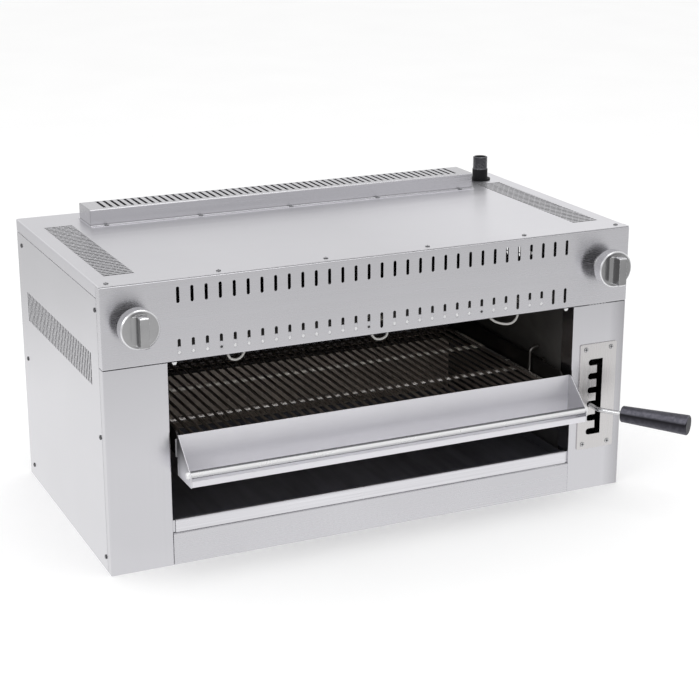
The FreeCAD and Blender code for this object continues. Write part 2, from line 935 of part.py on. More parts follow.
def make_burner():
    """The right burner: an upturned steel box with a mixing tube in its outer side."""
    x0, x1, y0, y1 = burner_plan(0)
    z0 = z_ceiling + sheet
    z1 = z0 + burner_height
    box = block(x0, x1, y0, y1, z0, z1)
    box = box.makeFillet(6.0, [e for e in box.Edges if e.BoundBox.ZLength > burner_height / 2])
    ix0, ix1, iy0, iy1 = burner_plan(sheet)
    core = block(ix0, ix1, iy0, iy1, z0 - 1, z1 - sheet)
    core = core.makeFillet(6.0 - sheet, [e for e in core.Edges if e.BoundBox.ZLength > burner_height / 2])
    mouth = Vec(x1 - sheet, burner_centre_y, z0 + burner_height / 2)
    out = Vec(1, 0, 0)
    neck = Part.makeCylinder(mixer_radius, mixer_length, mouth, out)
    flare_at = mouth + out * mixer_length
    flare = Part.makeCone(mixer_radius, mixer_mouth_radius, mixer_mouth_radius - mixer_radius, flare_at, out)
    bore = Part.makeCylinder(mixer_radius - sheet, mixer_length + 2 * sheet, mouth - out * (2 * sheet), out)
    funnel = Part.makeCone(
        mixer_radius - sheet, mixer_mouth_radius - sheet, mixer_mouth_radius - mixer_radius, flare_at, out
    )
    return box.cut(core).fuse([neck, flare]).cut([bore, funnel]).removeSplitter()


def make_tiles():
    """The glowing ceramic tiles of both burners, six in each."""
    x0, x1, y0, y1 = burner_plan(sheet + touch)
    wide = (x1 - x0 - tile_gap * (tile_columns - 1)) / tile_columns
    deep = (y1 - y0 - tile_gap * (tile_rows - 1)) / tile_rows
    tiles = []
    for i in range(tile_columns):
        for j in range(tile_rows):
            x = x0 + i * (wide + tile_gap)
            y = y0 + j * (deep + tile_gap)
            tile = block(x, x + wide, y, y + deep, z_ceiling - tile_drop, z_ceiling - tile_drop + tile_height)
            outer = [e for e in tile.Edges if e.BoundBox.ZLength > tile_height / 2]
            tile = tile.makeChamfer(5.0, outer)
            low = [e for e in tile.Edges if e.BoundBox.ZMax < z_ceiling]
            tiles.append(tile.makeChamfer(tile_chamfer, low))
    return Part.makeCompound(tiles + [mirrored(t) for t in tiles])


def supply_points():
    """The run of the right burner's supply tube, from under the valve to the injector."""
    level = z_ceiling + sheet + burner_height / 2
    y_start = y_inside + valve_nut_height + valve_length / 2
    tip = burner_plan(0)[1] + mixer_length + mixer_mouth_radius - mixer_radius
    return [
        Vec(x_knob, y_start, z_knob - valve_height / 2 - weld_gap),
        Vec(x_knob, y_start, level),
        Vec(x_knob, burner_centre_y, level),
        Vec(tip + injector_length, burner_centre_y, level),
    ]


def make_gas_pipe():
    """The main pipe, from the inlet down and forward to the valves, with two supply tubes and injectors."""
    end = Vec(-x_knob - valve_width / 2, y_pipe, z_knob)
    main = bent_rod(
        [
            Vec(x_inlet, y_inlet, casing_height - inlet_depth + inlet_engaged),
            Vec(x_inlet, y_inlet, z_knob),
            Vec(x_inlet, y_pipe, z_knob),
            end,
        ],
        pipe_radius,
        [pipe_bend, pipe_bend],
    )
    points = supply_points()
    supply = bent_rod(points, supply_radius, [supply_bend, supply_bend])
    injector = rod(points[-1], points[-1] - Vec(injector_length - 1, 0, 0), injector_radius)
    right = supply.fuse(injector)
    return Part.makeCompound([main, right, mirrored(right)])


def make_valve():
    """The right gas valve: body, neck and nut, with its rear cap as a second solid."""
    y0 = y_inside + valve_nut_height
    axis = Vec(0, 1, 0)
    body = block(
        x_knob - valve_width / 2,
        x_knob + valve_width / 2,
        y0,
        y_valve_back,
        z_knob - valve_height / 2,
        z_knob + valve_height / 2,
    )
    body = body.makeFillet(5.0, [e for e in body.Edges if e.BoundBox.YLength > valve_length / 2])
    nut = Part.makeCylinder(valve_nut_radius, valve_nut_height, Vec(x_knob, y_inside, z_knob), axis)
    neck_front = y_front - valve_neck_out
    neck = Part.makeCylinder(valve_neck_radius, y0 - neck_front, Vec(x_knob, neck_front, z_knob), axis)
    chamber = Part.makeCylinder(
        valve_bore + running_fit, plug_length + 2, Vec(x_knob, y_valve_back - plug_length - 2, z_knob), axis
    )
    stem_hole = Part.makeCylinder(
        stem_radius + running_fit, valve_length, Vec(x_knob, neck_front - 1, z_knob), axis
    )
    cap = Part.makeCylinder(valve_bore + 4, valve_cap_height, Vec(x_knob, y_valve_back, z_knob), axis)
    return Part.makeCompound([body.fuse([nut, neck]).cut([chamber, stem_hole]), cap])


def plug_front():
    """The front face of the valve's plug."""
    return y_valve_back - side_play - plug_length


def make_plug():
    """The plug that turns inside the right valve, with the bore that the stem slides in."""
    axis = Vec(0, 1, 0)
    plug = Part.makeCylinder(valve_bore, plug_length, Vec(x_knob, plug_front(), z_knob), axis)
    depth = stem_in_plug + push_travel + 2
    mouth = Vec(x_knob, plug_front() - 1, z_knob)
    bore = Part.makeCylinder(stem_radius + running_fit, depth + 1, mouth, axis)
    return plug.cut(bore)


def knob_back():
    """The plane of the back of the knobs."""
    return y_front - bezel_height - knob_gap


def make_stem():
    """The stem of the right valve, from inside the plug to inside the knob."""
    start = Vec(x_knob, knob_back() - knob_stem_depth, z_knob)
    end = Vec(x_knob, plug_front() + stem_in_plug, z_knob)
    stem = rod(start, end, stem_radius)
    flat = block(
        x_knob + stem_radius - 1.2,
        x_knob + stem_radius + 1,
        knob_back() - knob_stem_depth - 1,
        knob_back(),
        z_knob - stem_radius,
        z_knob + stem_radius,
    )
    return stem.cut(flat)


def make_bezel():
    """The round plate behind the right knob, clamped by the valve's neck."""
    axis = Vec(0, -1, 0)
    disc = Part.makeCylinder(bezel_radius, bezel_height, Vec(x_knob, y_front, z_knob), axis)
    rim = [e for e in disc.Edges if abs(e.BoundBox.Center.y - (y_front - bezel_height)) < 0.01]
    disc = disc.makeChamfer(bezel_height / 2, rim)
    behind = Vec(x_knob, y_front + 1, z_knob)
    return disc.cut(Part.makeCylinder(valve_neck_radius + running_fit, bezel_height + 2, behind, axis))


def make_knob():
    """The right knob: a turned metal disc on a narrower hub, with a finger bar left between two scoops."""
    back = knob_back()
    shoulder = back - knob_hub_length
    face = shoulder - knob_body_length
    front = face - knob_bar_height
    end = knob_bar_length / 2
    profile = [
        (0, back),
        (knob_hub_radius, back),
        (knob_hub_radius, shoulder),
        (knob_radius - knob_chamfer / 2, shoulder),
        (knob_radius, shoulder - knob_chamfer / 2),
        (knob_radius, face + knob_chamfer),
        (knob_radius - knob_chamfer, face),
        (end, face),
        (end, front + knob_chamfer),
        (end - knob_chamfer, front),
        (0, front),
    ]
    corners = [Vec(x_knob + r, y, z_knob) for r, y in profile]
    half = Part.Face(Part.makePolygon(corners + corners[:1]))
    knob = half.revolve(Vec(x_knob, 0, z_knob), Vec(0, 1, 0), 360)
    scoop = block(
        x_knob + knob_bar / 2,
        x_knob + knob_radius + 2,
        front - 1,
        face,
        z_knob - knob_radius - 2,
        z_knob + knob_radius + 2,
    )
    root = [
        e
        for e in scoop.Edges
        if e.BoundBox.ZLength > knob_radius
        and abs(e.BoundBox.Center.x - (x_knob + knob_bar / 2)) < 0.01
        and abs(e.BoundBox.Center.y - face) < 0.01
    ]
    scoop = scoop.makeFillet(knob_scoop_radius, root)
    other = scoop.mirror(Vec(x_knob, 0, 0), Vec(1, 0, 0))
    seat_end = back - knob_stem_depth - side_play
    seat = rod(Vec(x_knob, back + 1, z_knob), Vec(x_knob, seat_end, z_knob), stem_radius + weld_gap)
    return knob.cut([scoop, other, seat])


def make_inlet():
    """The stub of the gas inlet, standing through the lid, with the step where its thread begins."""
    low = Vec(x_inlet, y_inlet, casing_height - inlet_depth)
    high = Vec(x_inlet, y_inlet, casing_height + inlet_rise)
    shoulder = high - Vec(0, 0, inlet_thread_length)
    stub = rod(low, shoulder, inlet_radius).fuse(rod(shoulder, high, inlet_thread_radius))
    stub = stub.cut(rod(low - Vec(0, 0, 1), high + Vec(0, 0, 1), inlet_bore))
    tops = [e for e in stub.Edges if abs(e.BoundBox.Center.z - high.z) < 0.01]
    rims = [e for e in tops if e.BoundBox.XLength > inlet_bore * 2.1]
    return stub.makeChamfer(1.0, rims)


def make_inlet_flange():
    """The ring that closes the lid round the gas inlet."""
    low = Vec(x_inlet, y_inlet, casing_height)
    return tube(low, low + Vec(0, 0, inlet_flange_height), inlet_flange_radius, inlet_radius + running_fit)


def make_flue_cover():
    """The slotted flue cover: a folded hat section with closed ends."""
    mid = sheet / 2
    y0 = y_flue
    y1 = y0 + flue_depth
    low = casing_height + mid
    high = casing_height + flue_height - mid
    half_x = flue_width / 2
    cover = folded(
        "yz",
        [
            (y0 - flue_flange, low),
            (y0 + mid, low),
            (y0 + mid, high),
            (y1 - mid, high),
            (y1 - mid, low),
            (y1 + flue_flange, low),
        ],
        -half_x,
        2 * half_x,
    )
    top = casing_height + flue_height
    end = block(half_x - sheet, half_x, y0 + sheet, y1 - sheet, casing_height, top - sheet)
    cover = cover.fuse([end, mirrored(end)]).removeSplitter()
    holes = [screw_hole(p, Vec(0, 0, 1)) for p in flue_screw_points()]
    slot_end = y1 - flue_slot_back
    for i in range(flue_slot_count):
        x = flue_slot_pitch * (i - (flue_slot_count - 1) / 2)
        edge = flue_slot_width / 2
        near = slot_end - flue_slot_length
        holes.append(block(x - edge, x + edge, near, slot_end, top - 2 * sheet, top + 1))
    return cover.cut(holes)


def make_bush(z, shaft_radius):
    """A flanged bush in the right cavity wall."""
    outer = shaft_radius + bush_wall
    start = Vec(x_wall - bush_flange_height, pivot_y, z)
    barrel = rod(start, start + Vec(bush_length, 0, 0), outer)
    collar = rod(start, start + Vec(bush_flange_height, 0, 0), outer + bush_flange)
    bore = rod(start - Vec(1, 0, 0), start + Vec(bush_length + 1, 0, 0), shaft_radius + running_fit)
    return barrel.fuse(collar).cut(bore)


def make_bushes():
    """The four flanged bushes of the two cross shafts."""
    right = [make_bush(pivot_z, lift_shaft_radius), make_bush(z_link, link_shaft_radius)]
    return Part.makeCompound(right + [mirrored(b) for b in right])


def make_arm(z, shaft_radius):
    """A flat arm along the right wall, from its shaft to the pin of the carrier."""
    half = arm_height / 2
    start = Vec(x_arm, pivot_y, z)
    end = Vec(x_arm, y_pin, z)
    across = Vec(arm_thickness, 0, 0)
    bar = block(x_arm, x_arm + arm_thickness, y_pin, pivot_y, z - half, z + half)
    eyes = [rod(p, p + across, arm_eye) for p in (start, end)]
    bores = [
        rod(start - Vec(1, 0, 0), start + across + Vec(1, 0, 0), shaft_radius + weld_gap),
        rod(end - Vec(1, 0, 0), end + across + Vec(1, 0, 0), pin_radius + running_fit),
    ]
    return bar.fuse(eyes).cut(bores).removeSplitter()


def hub_start():
    """The inner face of the lever's hub."""
    return x_notch - hub_length / 2


def make_lift_shaft():
    """The upper cross shaft, which turns in the cavity walls and carries the lever at its right end."""
    left = Vec(-x_wall - bush_length - 2, pivot_y, pivot_z)
    right = Vec(hub_start() + hub_length + 4, pivot_y, pivot_z)
    return rod(left, right, lift_shaft_radius)


def make_link_shaft():
    """The lower cross shaft, which carries the two lower links."""
    end = x_wall + bush_length + 2
    return rod(Vec(-end, pivot_y, z_link), Vec(end, pivot_y, z_link), link_shaft_radius)


def lever_points():
    """The run of the lever rod: from the hub, level through the notch, then out to the side."""
    root = Vec(x_notch, pivot_y, pivot_z)
    elbow = Vec(x_notch, y_front + lever_straight_back, z_lever)
    knee = Vec(x_notch, y_front - lever_straight_front, z_lever)
    turn = math.radians(lever_turn_degrees)
    dip = math.radians(lever_dip_degrees)
    side = Vec(math.sin(turn) * math.cos(dip), -math.cos(turn) * math.cos(dip), -math.sin(dip))
    way_in = elbow.sub(root).normalize()
    return root + way_in * (lift_shaft_radius + hub_wall), elbow, knee, side


def make_lever_hub():
    """The hub on the right end of the lift shaft, with the socket that holds the lever rod."""
    start, elbow, _, _ = lever_points()
    hub_left = Vec(hub_start(), pivot_y, pivot_z)
    hub = rod(hub_left, hub_left + Vec(hub_length, 0, 0), hub_radius)
    along = elbow.sub(start).normalize()
    root = Vec(x_notch, pivot_y, pivot_z)
    socket = rod(root, root + along * hub_socket_length, hub_socket_radius)
    bore = rod(hub_left - Vec(1, 0, 0), hub_left + Vec(hub_length + 1, 0, 0), lift_shaft_radius + weld_gap)
    seat = rod(start - along * side_play, root + along * (hub_socket_length + 1), lever_radius + weld_gap)
    return hub.fuse(socket).cut([bore, seat])


def make_lever_rod():
    """The sprung lever rod."""
    start, elbow, knee, side = lever_points()
    tip = knee + side * (lever_neck + grip_socket)
    return bent_rod([start, elbow, knee, tip], lever_radius, [lever_sweep, lever_bend])


def make_lever_grip():
    """The tapered grip of the lever, rounded at both ends."""
    _, _, knee, side = lever_points()
    small, large, edge = grip_small_radius, grip_large_radius, grip_edge
    bore = lever_radius + weld_gap
    profile = [
        (bore, 0),
        (small - edge, 0),
        (small, edge),
        (large, grip_length - edge),
        (large - edge, grip_length),
        (0, grip_length),
        (0, grip_socket + side_play),
        (bore, grip_socket + side_play),
    ]
    corners = [Vec(r, 0, h) for r, h in profile]
    face = Part.Face(Part.makePolygon(corners + corners[:1]))
    grip = face.revolve(Vec(0, 0, 0), Vec(0, 0, 1), 360)
    rims = [
        e
        for e in grip.Edges
        if abs(e.BoundBox.ZLength) < 0.01 and e.BoundBox.XLength / 2 > small - 0.5
    ]
    grip = grip.makeFillet(edge * 0.6, rims)
    grip.Placement = FreeCAD.Placement(knee + side * lever_neck, FreeCAD.Rotation(Vec(0, 0, 1), side))
    return grip


def make_carrier():
    """The right carrier: a bar on edge with a ledge, a folded front tab and the two pins of the arms."""
    front = y_front + carrier_front_gap
    back = pivot_y - carrier_back_gap
    top = carrier_bottom + carrier_height
    x0, x1 = x_carrier, x_carrier + carrier_thickness
    bar = block(x0, x1, front, back, carrier_bottom, top)
    bar = bar.makeFillet(carrier_corner, [e for e in bar.Edges if e.BoundBox.XLength > carrier_thickness / 2])
    half_tab = carrier_tab_width / 2
    tab = block(x0, x1, y_pin - half_tab, y_pin + half_tab, z_link, carrier_bottom + carrier_corner)
    foot = rod(Vec(x0, y_pin, z_link), Vec(x1, y_pin, z_link), half_tab)
    near, far = front + carrier_corner, back - carrier_corner
    ledge = block(x0 - ledge_width, x0, near, far, z_ledge - ledge_thickness, z_ledge)
    stop_top = carrier_bottom + carrier_front_tab_height
    stop = block(x0, x0 + carrier_front_tab, front - carrier_front_tab_depth, front, carrier_bottom, stop_top)
    pieces = [tab, foot, ledge, stop]
    for z in (pivot_z, z_link):
        shoulder = rod(Vec(x1, y_pin, z), Vec(x_arm - side_play, y_pin, z), pin_head_radius)
        pin_end = x_arm + arm_thickness + side_play
        pin = rod(Vec(x1, y_pin, z), Vec(pin_end, y_pin, z), pin_radius)
        head = rod(Vec(pin_end, y_pin, z), Vec(pin_end + pin_head_height, y_pin, z), pin_head_radius)
        pieces += [shoulder, pin, head]
    return bar.fuse(pieces).removeSplitter()


def make_fingers():
    """The two bent rods that hold the rack down on its ledges and keep the carriers off the walls."""
    x = x_carrier - finger_radius - weld_gap
    y = y_pin + finger_behind_pin
    foot = rack_level + rack_rod_radius + rest_gap
    points = [
        Vec(x, y, foot),
        Vec(x, y, foot + finger_height),
        Vec(x + finger_reach, y, foot + finger_height + finger_rise),
    ]
    finger = bent_rod(points, finger_radius, [finger_bend])
    return Part.makeCompound([finger, mirrored(finger)])


def make_rack_frame():
    """The frame under the rack's bars: one rod bent round into a rectangle, with two cross rods welded in."""
    z = rack_level
    half = bent_rod(
        [
            Vec(0, y_rack_front, z),
            Vec(x_rack, y_rack_front, z),
            Vec(x_rack, y_rack_back, z),
            Vec(0, y_rack_back, z),
        ],
        rack_rod_radius,
        [rack_corner_bend, rack_corner_bend],
    )
    across = [y_front + y for y in rack_cross_rods]
    rods = [rod(Vec(-x_rack, y, z), Vec(x_rack, y, z), rack_cross_radius) for y in across]
    return half.fuse([mirrored(half)] + rods).removeSplitter()


def make_rack_bars():
    """The bars of the rack, front to back on top of the frame."""
    z = rack_level + rack_rod_radius + rack_bar_radius + weld_gap
    bars = []
    for i in range(rack_bar_count):
        x = rack_bar_pitch * (i - (rack_bar_count - 1) / 2)
        start = Vec(x, y_rack_front - rack_rod_radius, z)
        bars.append(rod(start, Vec(x, y_rack_back + rack_rod_radius, z), rack_bar_radius))
    return Part.makeCompound(bars)


def trough_limits():
    """The front and back planes of the trough and its top."""
    back = y_front - trough_front_gap
    return back - trough_depth, back, trough_bottom + trough_height


def make_trough():
    """The trough in front of the rack: back, floor and front lip in one fold, with a cheek at each end."""
    front, back, top = trough_limits()
    mid = sheet / 2
    half_x = trough_width / 2
    fold = folded(
        "yz",
        [
            (back - mid, top),
            (back - mid, trough_bottom + mid),
            (front + mid, trough_bottom + mid),
            (front + mid, trough_bottom + trough_lip),
        ],
        -half_x + sheet,
        2 * (half_x - sheet),
    )
    cheek = outline(
        "yz",
        [
            (back, top),
            (back - 6, top),
            (front, trough_bottom + trough_cheek_front),
            (front, trough_bottom),
            (back, trough_bottom),
        ],
        half_x - sheet,
        sheet,
    )
    y = front + handle_radius + handle_setback
    outside = Vec(half_x + 1, y, handle_level)
    hole = rod(Vec(-half_x - 1, y, handle_level), outside, handle_pin_radius + weld_gap)
    return fold.fuse([cheek, mirrored(cheek)]).cut(hole)


def make_trough_handle():
    """The round handle between the cheeks of the trough, with a pin and a head through each cheek."""
    front, _, _ = trough_limits()
    y = front + handle_radius + handle_setback
    inner = trough_width / 2 - sheet - weld_gap
    outer = trough_width / 2 + weld_gap
    bar = rod(Vec(-inner, y, handle_level), Vec(inner, y, handle_level), handle_radius)
    pin = rod(Vec(-outer, y, handle_level), Vec(outer, y, handle_level), handle_pin_radius)
    head_end = outer + handle_head_height
    head = rod(Vec(outer, y, handle_level), Vec(head_end, y, handle_level), handle_head_radius)
    head = head.makeChamfer(handle_head_height / 3, [e for e in head.Edges if e.BoundBox.XMin > outer + 1])
    return bar.fuse([pin, head, mirrored(head)])


def back_corners(box):
    """The upright edges at the back of a box that spans the middle plane."""
    return [e for e in box.Edges if e.BoundBox.ZLength > tray_wall_height / 2 and e.BoundBox.Center.y > 0]


def make_crumb_tray():
    """The pull-out crumb tray: a shallow pan with a taller front lip, hemmed at its top."""
    half_x = x_open - tray_side_gap
    front = y_front + tray_setback
    back = y_cavity_back - tray_back_gap
    low = low_panel_height + rest_gap
    pan = block(-half_x, half_x, front, back, low, low + tray_wall_height)
    pan = pan.makeFillet(tray_corner, back_corners(pan))
    core = block(
        -half_x + sheet,
        half_x - sheet,
        front + sheet,
        back - sheet,
        low + sheet,
        low + tray_wall_height + 1,
    )
    core = core.makeFillet(tray_corner - sheet, back_corners(core))
    lip = folded(
        "yz",
        [
            (front + sheet / 2, low),
            (front + sheet / 2, low + tray_height - sheet / 2),
            (front + tray_hem, low + tray_height - sheet / 2),
        ],
        -half_x,
        2 * half_x,
    )
    return pan.cut(core).fuse(lip).removeSplitter()


def igniter_centre(x):
    """The point on the ceiling's upstand that an igniter passes through."""
    return Vec(x, y_ceiling_front, z_ceiling + sheet + ceiling_upstand / 2)


def make_igniters():
    """The three igniters: a ceramic rod through the ceiling's upstand, with a thin wire tip."""
    pieces = []
    for x_from, x_to, _, _ in lead_loops.values():
        centre = igniter_centre(x_to)
        front = centre - Vec(0, igniter_front, 0)
        back = front + Vec(0, igniter_length, 0)
        tip = rod(back, back + Vec(0, igniter_tip_length, 0), igniter_tip_radius)
        pieces.append(rod(front, back, igniter_radius).fuse(tip))
    return Part.makeCompound(pieces)


def make_terminals():
    """The ceramic terminal blocks behind the fascia that the ignition leads start from."""
    blocks = []
    for x_from, _, _, _ in lead_loops.values():
        half = terminal_width / 2
        low = z_fascia + terminal_level
        back = y_lead + terminal_behind
        piece = block(x_from - half, x_from + half, y_inside, back, low, low + terminal_height)
        long_edges = [e for e in piece.Edges if e.BoundBox.ZLength > terminal_height / 2]
        blocks.append(piece.makeChamfer(2.0, long_edges))
    return Part.makeCompound(blocks)


def make_lead(x_from, x_to, dip, loop_radius):
    """An ignition lead: down from its terminal, round in a loop under the fascia and up into its igniter."""
    end = igniter_centre(x_to) - Vec(0, igniter_front, 0)
    low = z_fascia - dip
    points = [
        Vec(x_from, y_lead, z_fascia + terminal_level),
        Vec(x_from, y_lead, low),
        Vec(x_to, y_lead, low),
        Vec(x_to, y_lead, end.z),
        end,
    ]
    return bent_rod(points, lead_radius, [loop_radius, loop_radius, lead_end_bend])


parts = {
    "base_pan": make_base_pan(),
    "side_panel_right": make_side_panel(),
    "side_panel_left": mirrored(make_side_panel()),
    "corner_posts": make_corner_posts(),
    "back_panel": make_back_panel(),
    "lid": make_lid(),
    "fascia": make_fascia(),
    "slot_strip": make_slot_strip(),
    "column_left": mirrored(column_shape()),
    "column_right": make_column_right(),
    "low_panel": make_low_panel(),
    "selector_plate": make_selector_plate(),
    "selector_screws": make_selector_screws(),
    "casing_screws": make_casing_screws(),
    "cavity_wall_right": make_cavity_wall(),
    "cavity_wall_left": mirrored(make_cavity_wall()),
    "cavity_back": make_cavity_back(),
    "cavity_floor": make_cavity_floor(),
    "tray_guides": make_tray_guides(),
    "ceiling": make_ceiling(),
    "burner_right": make_burner(),
    "burner_left": mirrored(make_burner()),
    "burner_tiles": make_tiles(),
    "gas_pipe": make_gas_pipe(),
    "valve_right": make_valve(),
    "valve_left": mirrored(make_valve()),
    "plug_right": make_plug(),
    "plug_left": mirrored(make_plug()),
    "stem_right": make_stem(),
    "stem_left": mirrored(make_stem()),
    "knob_right": make_knob(),
    "knob_left": mirrored(make_knob()),
    "bezel_right": make_bezel(),
    "bezel_left": mirrored(make_bezel()),
    "gas_inlet": make_inlet(),
    "inlet_flange": make_inlet_flange(),
    "flue_cover": make_flue_cover(),
    "shaft_bushes": make_bushes(),
    "lift_shaft": make_lift_shaft(),
    "lift_arm_right": make_arm(pivot_z, lift_shaft_radius),
    "lift_arm_left": mirrored(make_arm(pivot_z, lift_shaft_radius)),
    "lever_hub": make_lever_hub(),
    "lever_rod": make_lever_rod(),
    "lever_grip": make_lever_grip(),
    "link_shaft": make_link_shaft(),
    "link_arm_right": make_arm(z_link, link_shaft_radius),
    "link_arm_left": mirrored(make_arm(z_link, link_shaft_radius)),
    "carrier_right": make_carrier(),
    "carrier_left": mirrored(make_carrier()),
    "hold_down_fingers": make_fingers(),
    "rack_frame": make_rack_frame(),
    "rack_bars": make_rack_bars(),
    "trough": make_trough(),
    "trough_handle": make_trough_handle(),
    "crumb_tray": make_crumb_tray(),
    "igniters": make_igniters(),
    "lead_terminals": make_terminals(),
}

for name, loop in lead_loops.items():
    parts["lead_" + name] = make_lead(*loop)
    print("lead", name, "bends", loop[3], lead_end_bend, "at a diameter of", lead_radius * 2)

for name, shape in parts.items():
    shape.exportStep(f"parts/{name}.step")
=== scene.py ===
import math

import bmesh
import bpy
from mathutils import Matrix, Vector


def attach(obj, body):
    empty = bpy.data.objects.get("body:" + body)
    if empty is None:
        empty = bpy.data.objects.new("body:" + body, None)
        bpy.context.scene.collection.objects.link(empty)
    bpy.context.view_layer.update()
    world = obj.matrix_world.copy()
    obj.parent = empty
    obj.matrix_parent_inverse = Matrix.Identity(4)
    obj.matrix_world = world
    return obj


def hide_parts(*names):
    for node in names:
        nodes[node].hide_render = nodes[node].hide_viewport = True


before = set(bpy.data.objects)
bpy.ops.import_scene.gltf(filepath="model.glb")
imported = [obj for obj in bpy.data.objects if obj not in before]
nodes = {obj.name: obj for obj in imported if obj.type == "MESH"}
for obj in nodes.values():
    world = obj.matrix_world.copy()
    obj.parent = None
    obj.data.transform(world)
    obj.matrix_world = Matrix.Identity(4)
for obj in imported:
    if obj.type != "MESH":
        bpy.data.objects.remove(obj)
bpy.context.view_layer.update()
MM = 0.001


def lowest(name):
    """The lowest corner of the box round a node of the frame, in millimetres."""
    return Vector([round(value / MM, 2) for value in nodes[name].bound_box[0]])


def highest(name):
    """The highest corner of the box round a node of the frame, in millimetres."""
    return Vector([round(value / MM, 2) for value in nodes[name].bound_box[6]])


def middle(name):
    return (lowest(name) + highest(name)) / 2


# Places read from the frame, in millimetres
X_SIDE = highest("fascia").x
Y_FRONT = lowest("fascia").y
Y_BACK = highest("lid").y
Z_TOP = highest("lid").z
X_FLUE = highest("flue_cover").x
X_OPENING = lowest("column_right").x
Z_COLUMN = highest("column_right").z
Z_LOW_PANEL = highest("low_panel").z
Z_TRAY = highest("crumb_tray").z
KNOB = middle("knob_right")
PLATE = middle("selector_plate")
Y_PLATE = lowest("selector_plate").y
PIPE = middle("inlet_flange")
Z_PIPE_FOOT = lowest("gas_inlet").z
Z_PIPE = highest("gas_inlet").z
X_TROUGH = highest("trough").x
Y_TROUGH_BACK = highest("trough").y
Z_HANDLE = middle("trough_handle").z
Y_IGNITER = lowest("igniters").y
Z_IGNITER = middle("igniters").z
Z_TERMINAL = lowest("lead_terminals").z

# Vents and slots, in millimetres: the webs bridge the vents, the pads fill the fascia's lower slots
SHEET = 1.2
VENT_PITCH = 9.0
SIDE_VENT_SLOTS = 41
SIDE_VENT_FRONT = Y_FRONT + 55.0
SIDE_VENT_LOW = 288.0
SIDE_VENT_HEIGHT = 50.0
LID_VENT_SLOTS = 37
LID_VENT_FRONT = Y_FRONT + 56.0
LID_VENT_BACK = Y_BACK - 81.0
LID_VENT_OUTER = X_SIDE - 25.0
LID_VENT_WIDTH = 47.0
WEB_REACH = 2.2
WEB_HALF = 0.8
WEB_SINK = 0.2
LID_WEB_SINK = 0.3
SLOT_COUNT = 31
SLOT_PITCH = 22.1
PAD_HALF = 2.44
PAD_FOOT = 335.06
PAD_TOP = 347.9
PAD_SINK = 0.05
BEAD_RADIUS = 2.2
BEAD_RISE = 0.7
BEAD_LEVEL = 339.3
TAB_X = (-339.8, 334.8)
TAB_FOOT = 320.9
STOP_FRONT = Y_FRONT + 3.6

# Lower slots behind which the strip is notched, so that nothing fills them
OPEN_SLOTS = (15, 26, 29, 30)

# Lower slots whose bead is the dark end of a rivet that holds a lead terminal
DARK_BEADS = (3, 14, 23)

# Screws, in millimetres
PAN_RADIUS = 3.6
PAN_RISE = 1.9
PAN_SHANK = 4.0
SIDE_SCREW_Y = 209.0
SIDE_SCREW_LEVELS = (22.0, 215.0, 412.0)
BACK_SCREW_X = X_SIDE - 10.2
LID_SCREW_X = (-434.0, -261.0, -87.0, 87.0, 261.0, 434.0)
LID_SCREW_Y = Y_FRONT + 17.0
FLUE_SCREW_COUNT = 5
FLUE_SCREW_PITCH = 164.0
FLUE_SCREW_Y = 122.5
PLATE_SCREW_X = 24.3
PLATE_SCREW_Z = 83.5
PLATE_SCREW_RADIUS = 4.0
PLATE_SCREW_RISE = 1.0
PLATE_SCREW_SHANK = 3.0

# Gas inlet, in millimetres
PIPE_RADIUS = 13.2
PIPE_BORE = 10.1
BARREL_RADIUS = 13.9
THREAD_START = 473.0
THREAD_PITCH = 1.81
THREAD_DEPTH = 0.95

# Rack, in millimetres: where its frame turns pale, as painted light, and where it turns dark, as painted
# shade
RACK_PALE_FROM = 20.0
RACK_SHADED_FROM = 100.0

# Knobs, in millimetres: the radius at which the rim starts, half the finger bar, and the face behind the bar
KNOB_RIM = 27.7
KNOB_BAR_HALF = 6.3
Y_KNOB_FACE = Y_FRONT - 39.5

# Leads, in millimetres: x and z of the two low points of each loop, x of its terminal and of its igniter,
# and its length in metres
LEAD_RADIUS = 1.9
Y_LEAD = -221.0
LEADS = {
    "loop_left": ((-257.0, 317.0), (-229.0, 308.0), -250.0, -216.0, 0.108),
    "loop_middle": ((-17.0, 314.0), (18.5, 311.0), -17.0, 14.0, 0.105),
    "loop_right": ((184.0, 325.0), (246.0, 300.0), 197.0, 257.0, 0.1336),
}

# Camera: place in metres, angles in degrees, lens and sensor in millimetres
CAMERA_PLACE = (-1.11087, -2.52274, 1.10949)
CAMERA_TURN = 24.77
CAMERA_DOWN = 17.67
CAMERA_LENS = 88.08
CAMERA_SENSOR = 36.0


# Camera and cords

def make_camera():
    """The camera of the photograph: a little left of the front and above."""
    turn = math.radians(CAMERA_TURN)
    down = math.radians(CAMERA_DOWN)
    ahead = Vector((math.sin(turn) * math.cos(down), math.cos(turn) * math.cos(down), -math.sin(down)))
    data = bpy.data.cameras.new("camera")
    data.lens = CAMERA_LENS
    data.sensor_width = CAMERA_SENSOR
    data.sensor_fit = "HORIZONTAL"
    data.clip_end = 200.0
    camera = bpy.data.objects.new("camera", data)
    camera.location = CAMERA_PLACE
    camera.rotation_euler = ahead.to_track_quat("-Z", "Y").to_euler()
    bpy.context.scene.collection.objects.link(camera)
    bpy.context.scene.camera = camera


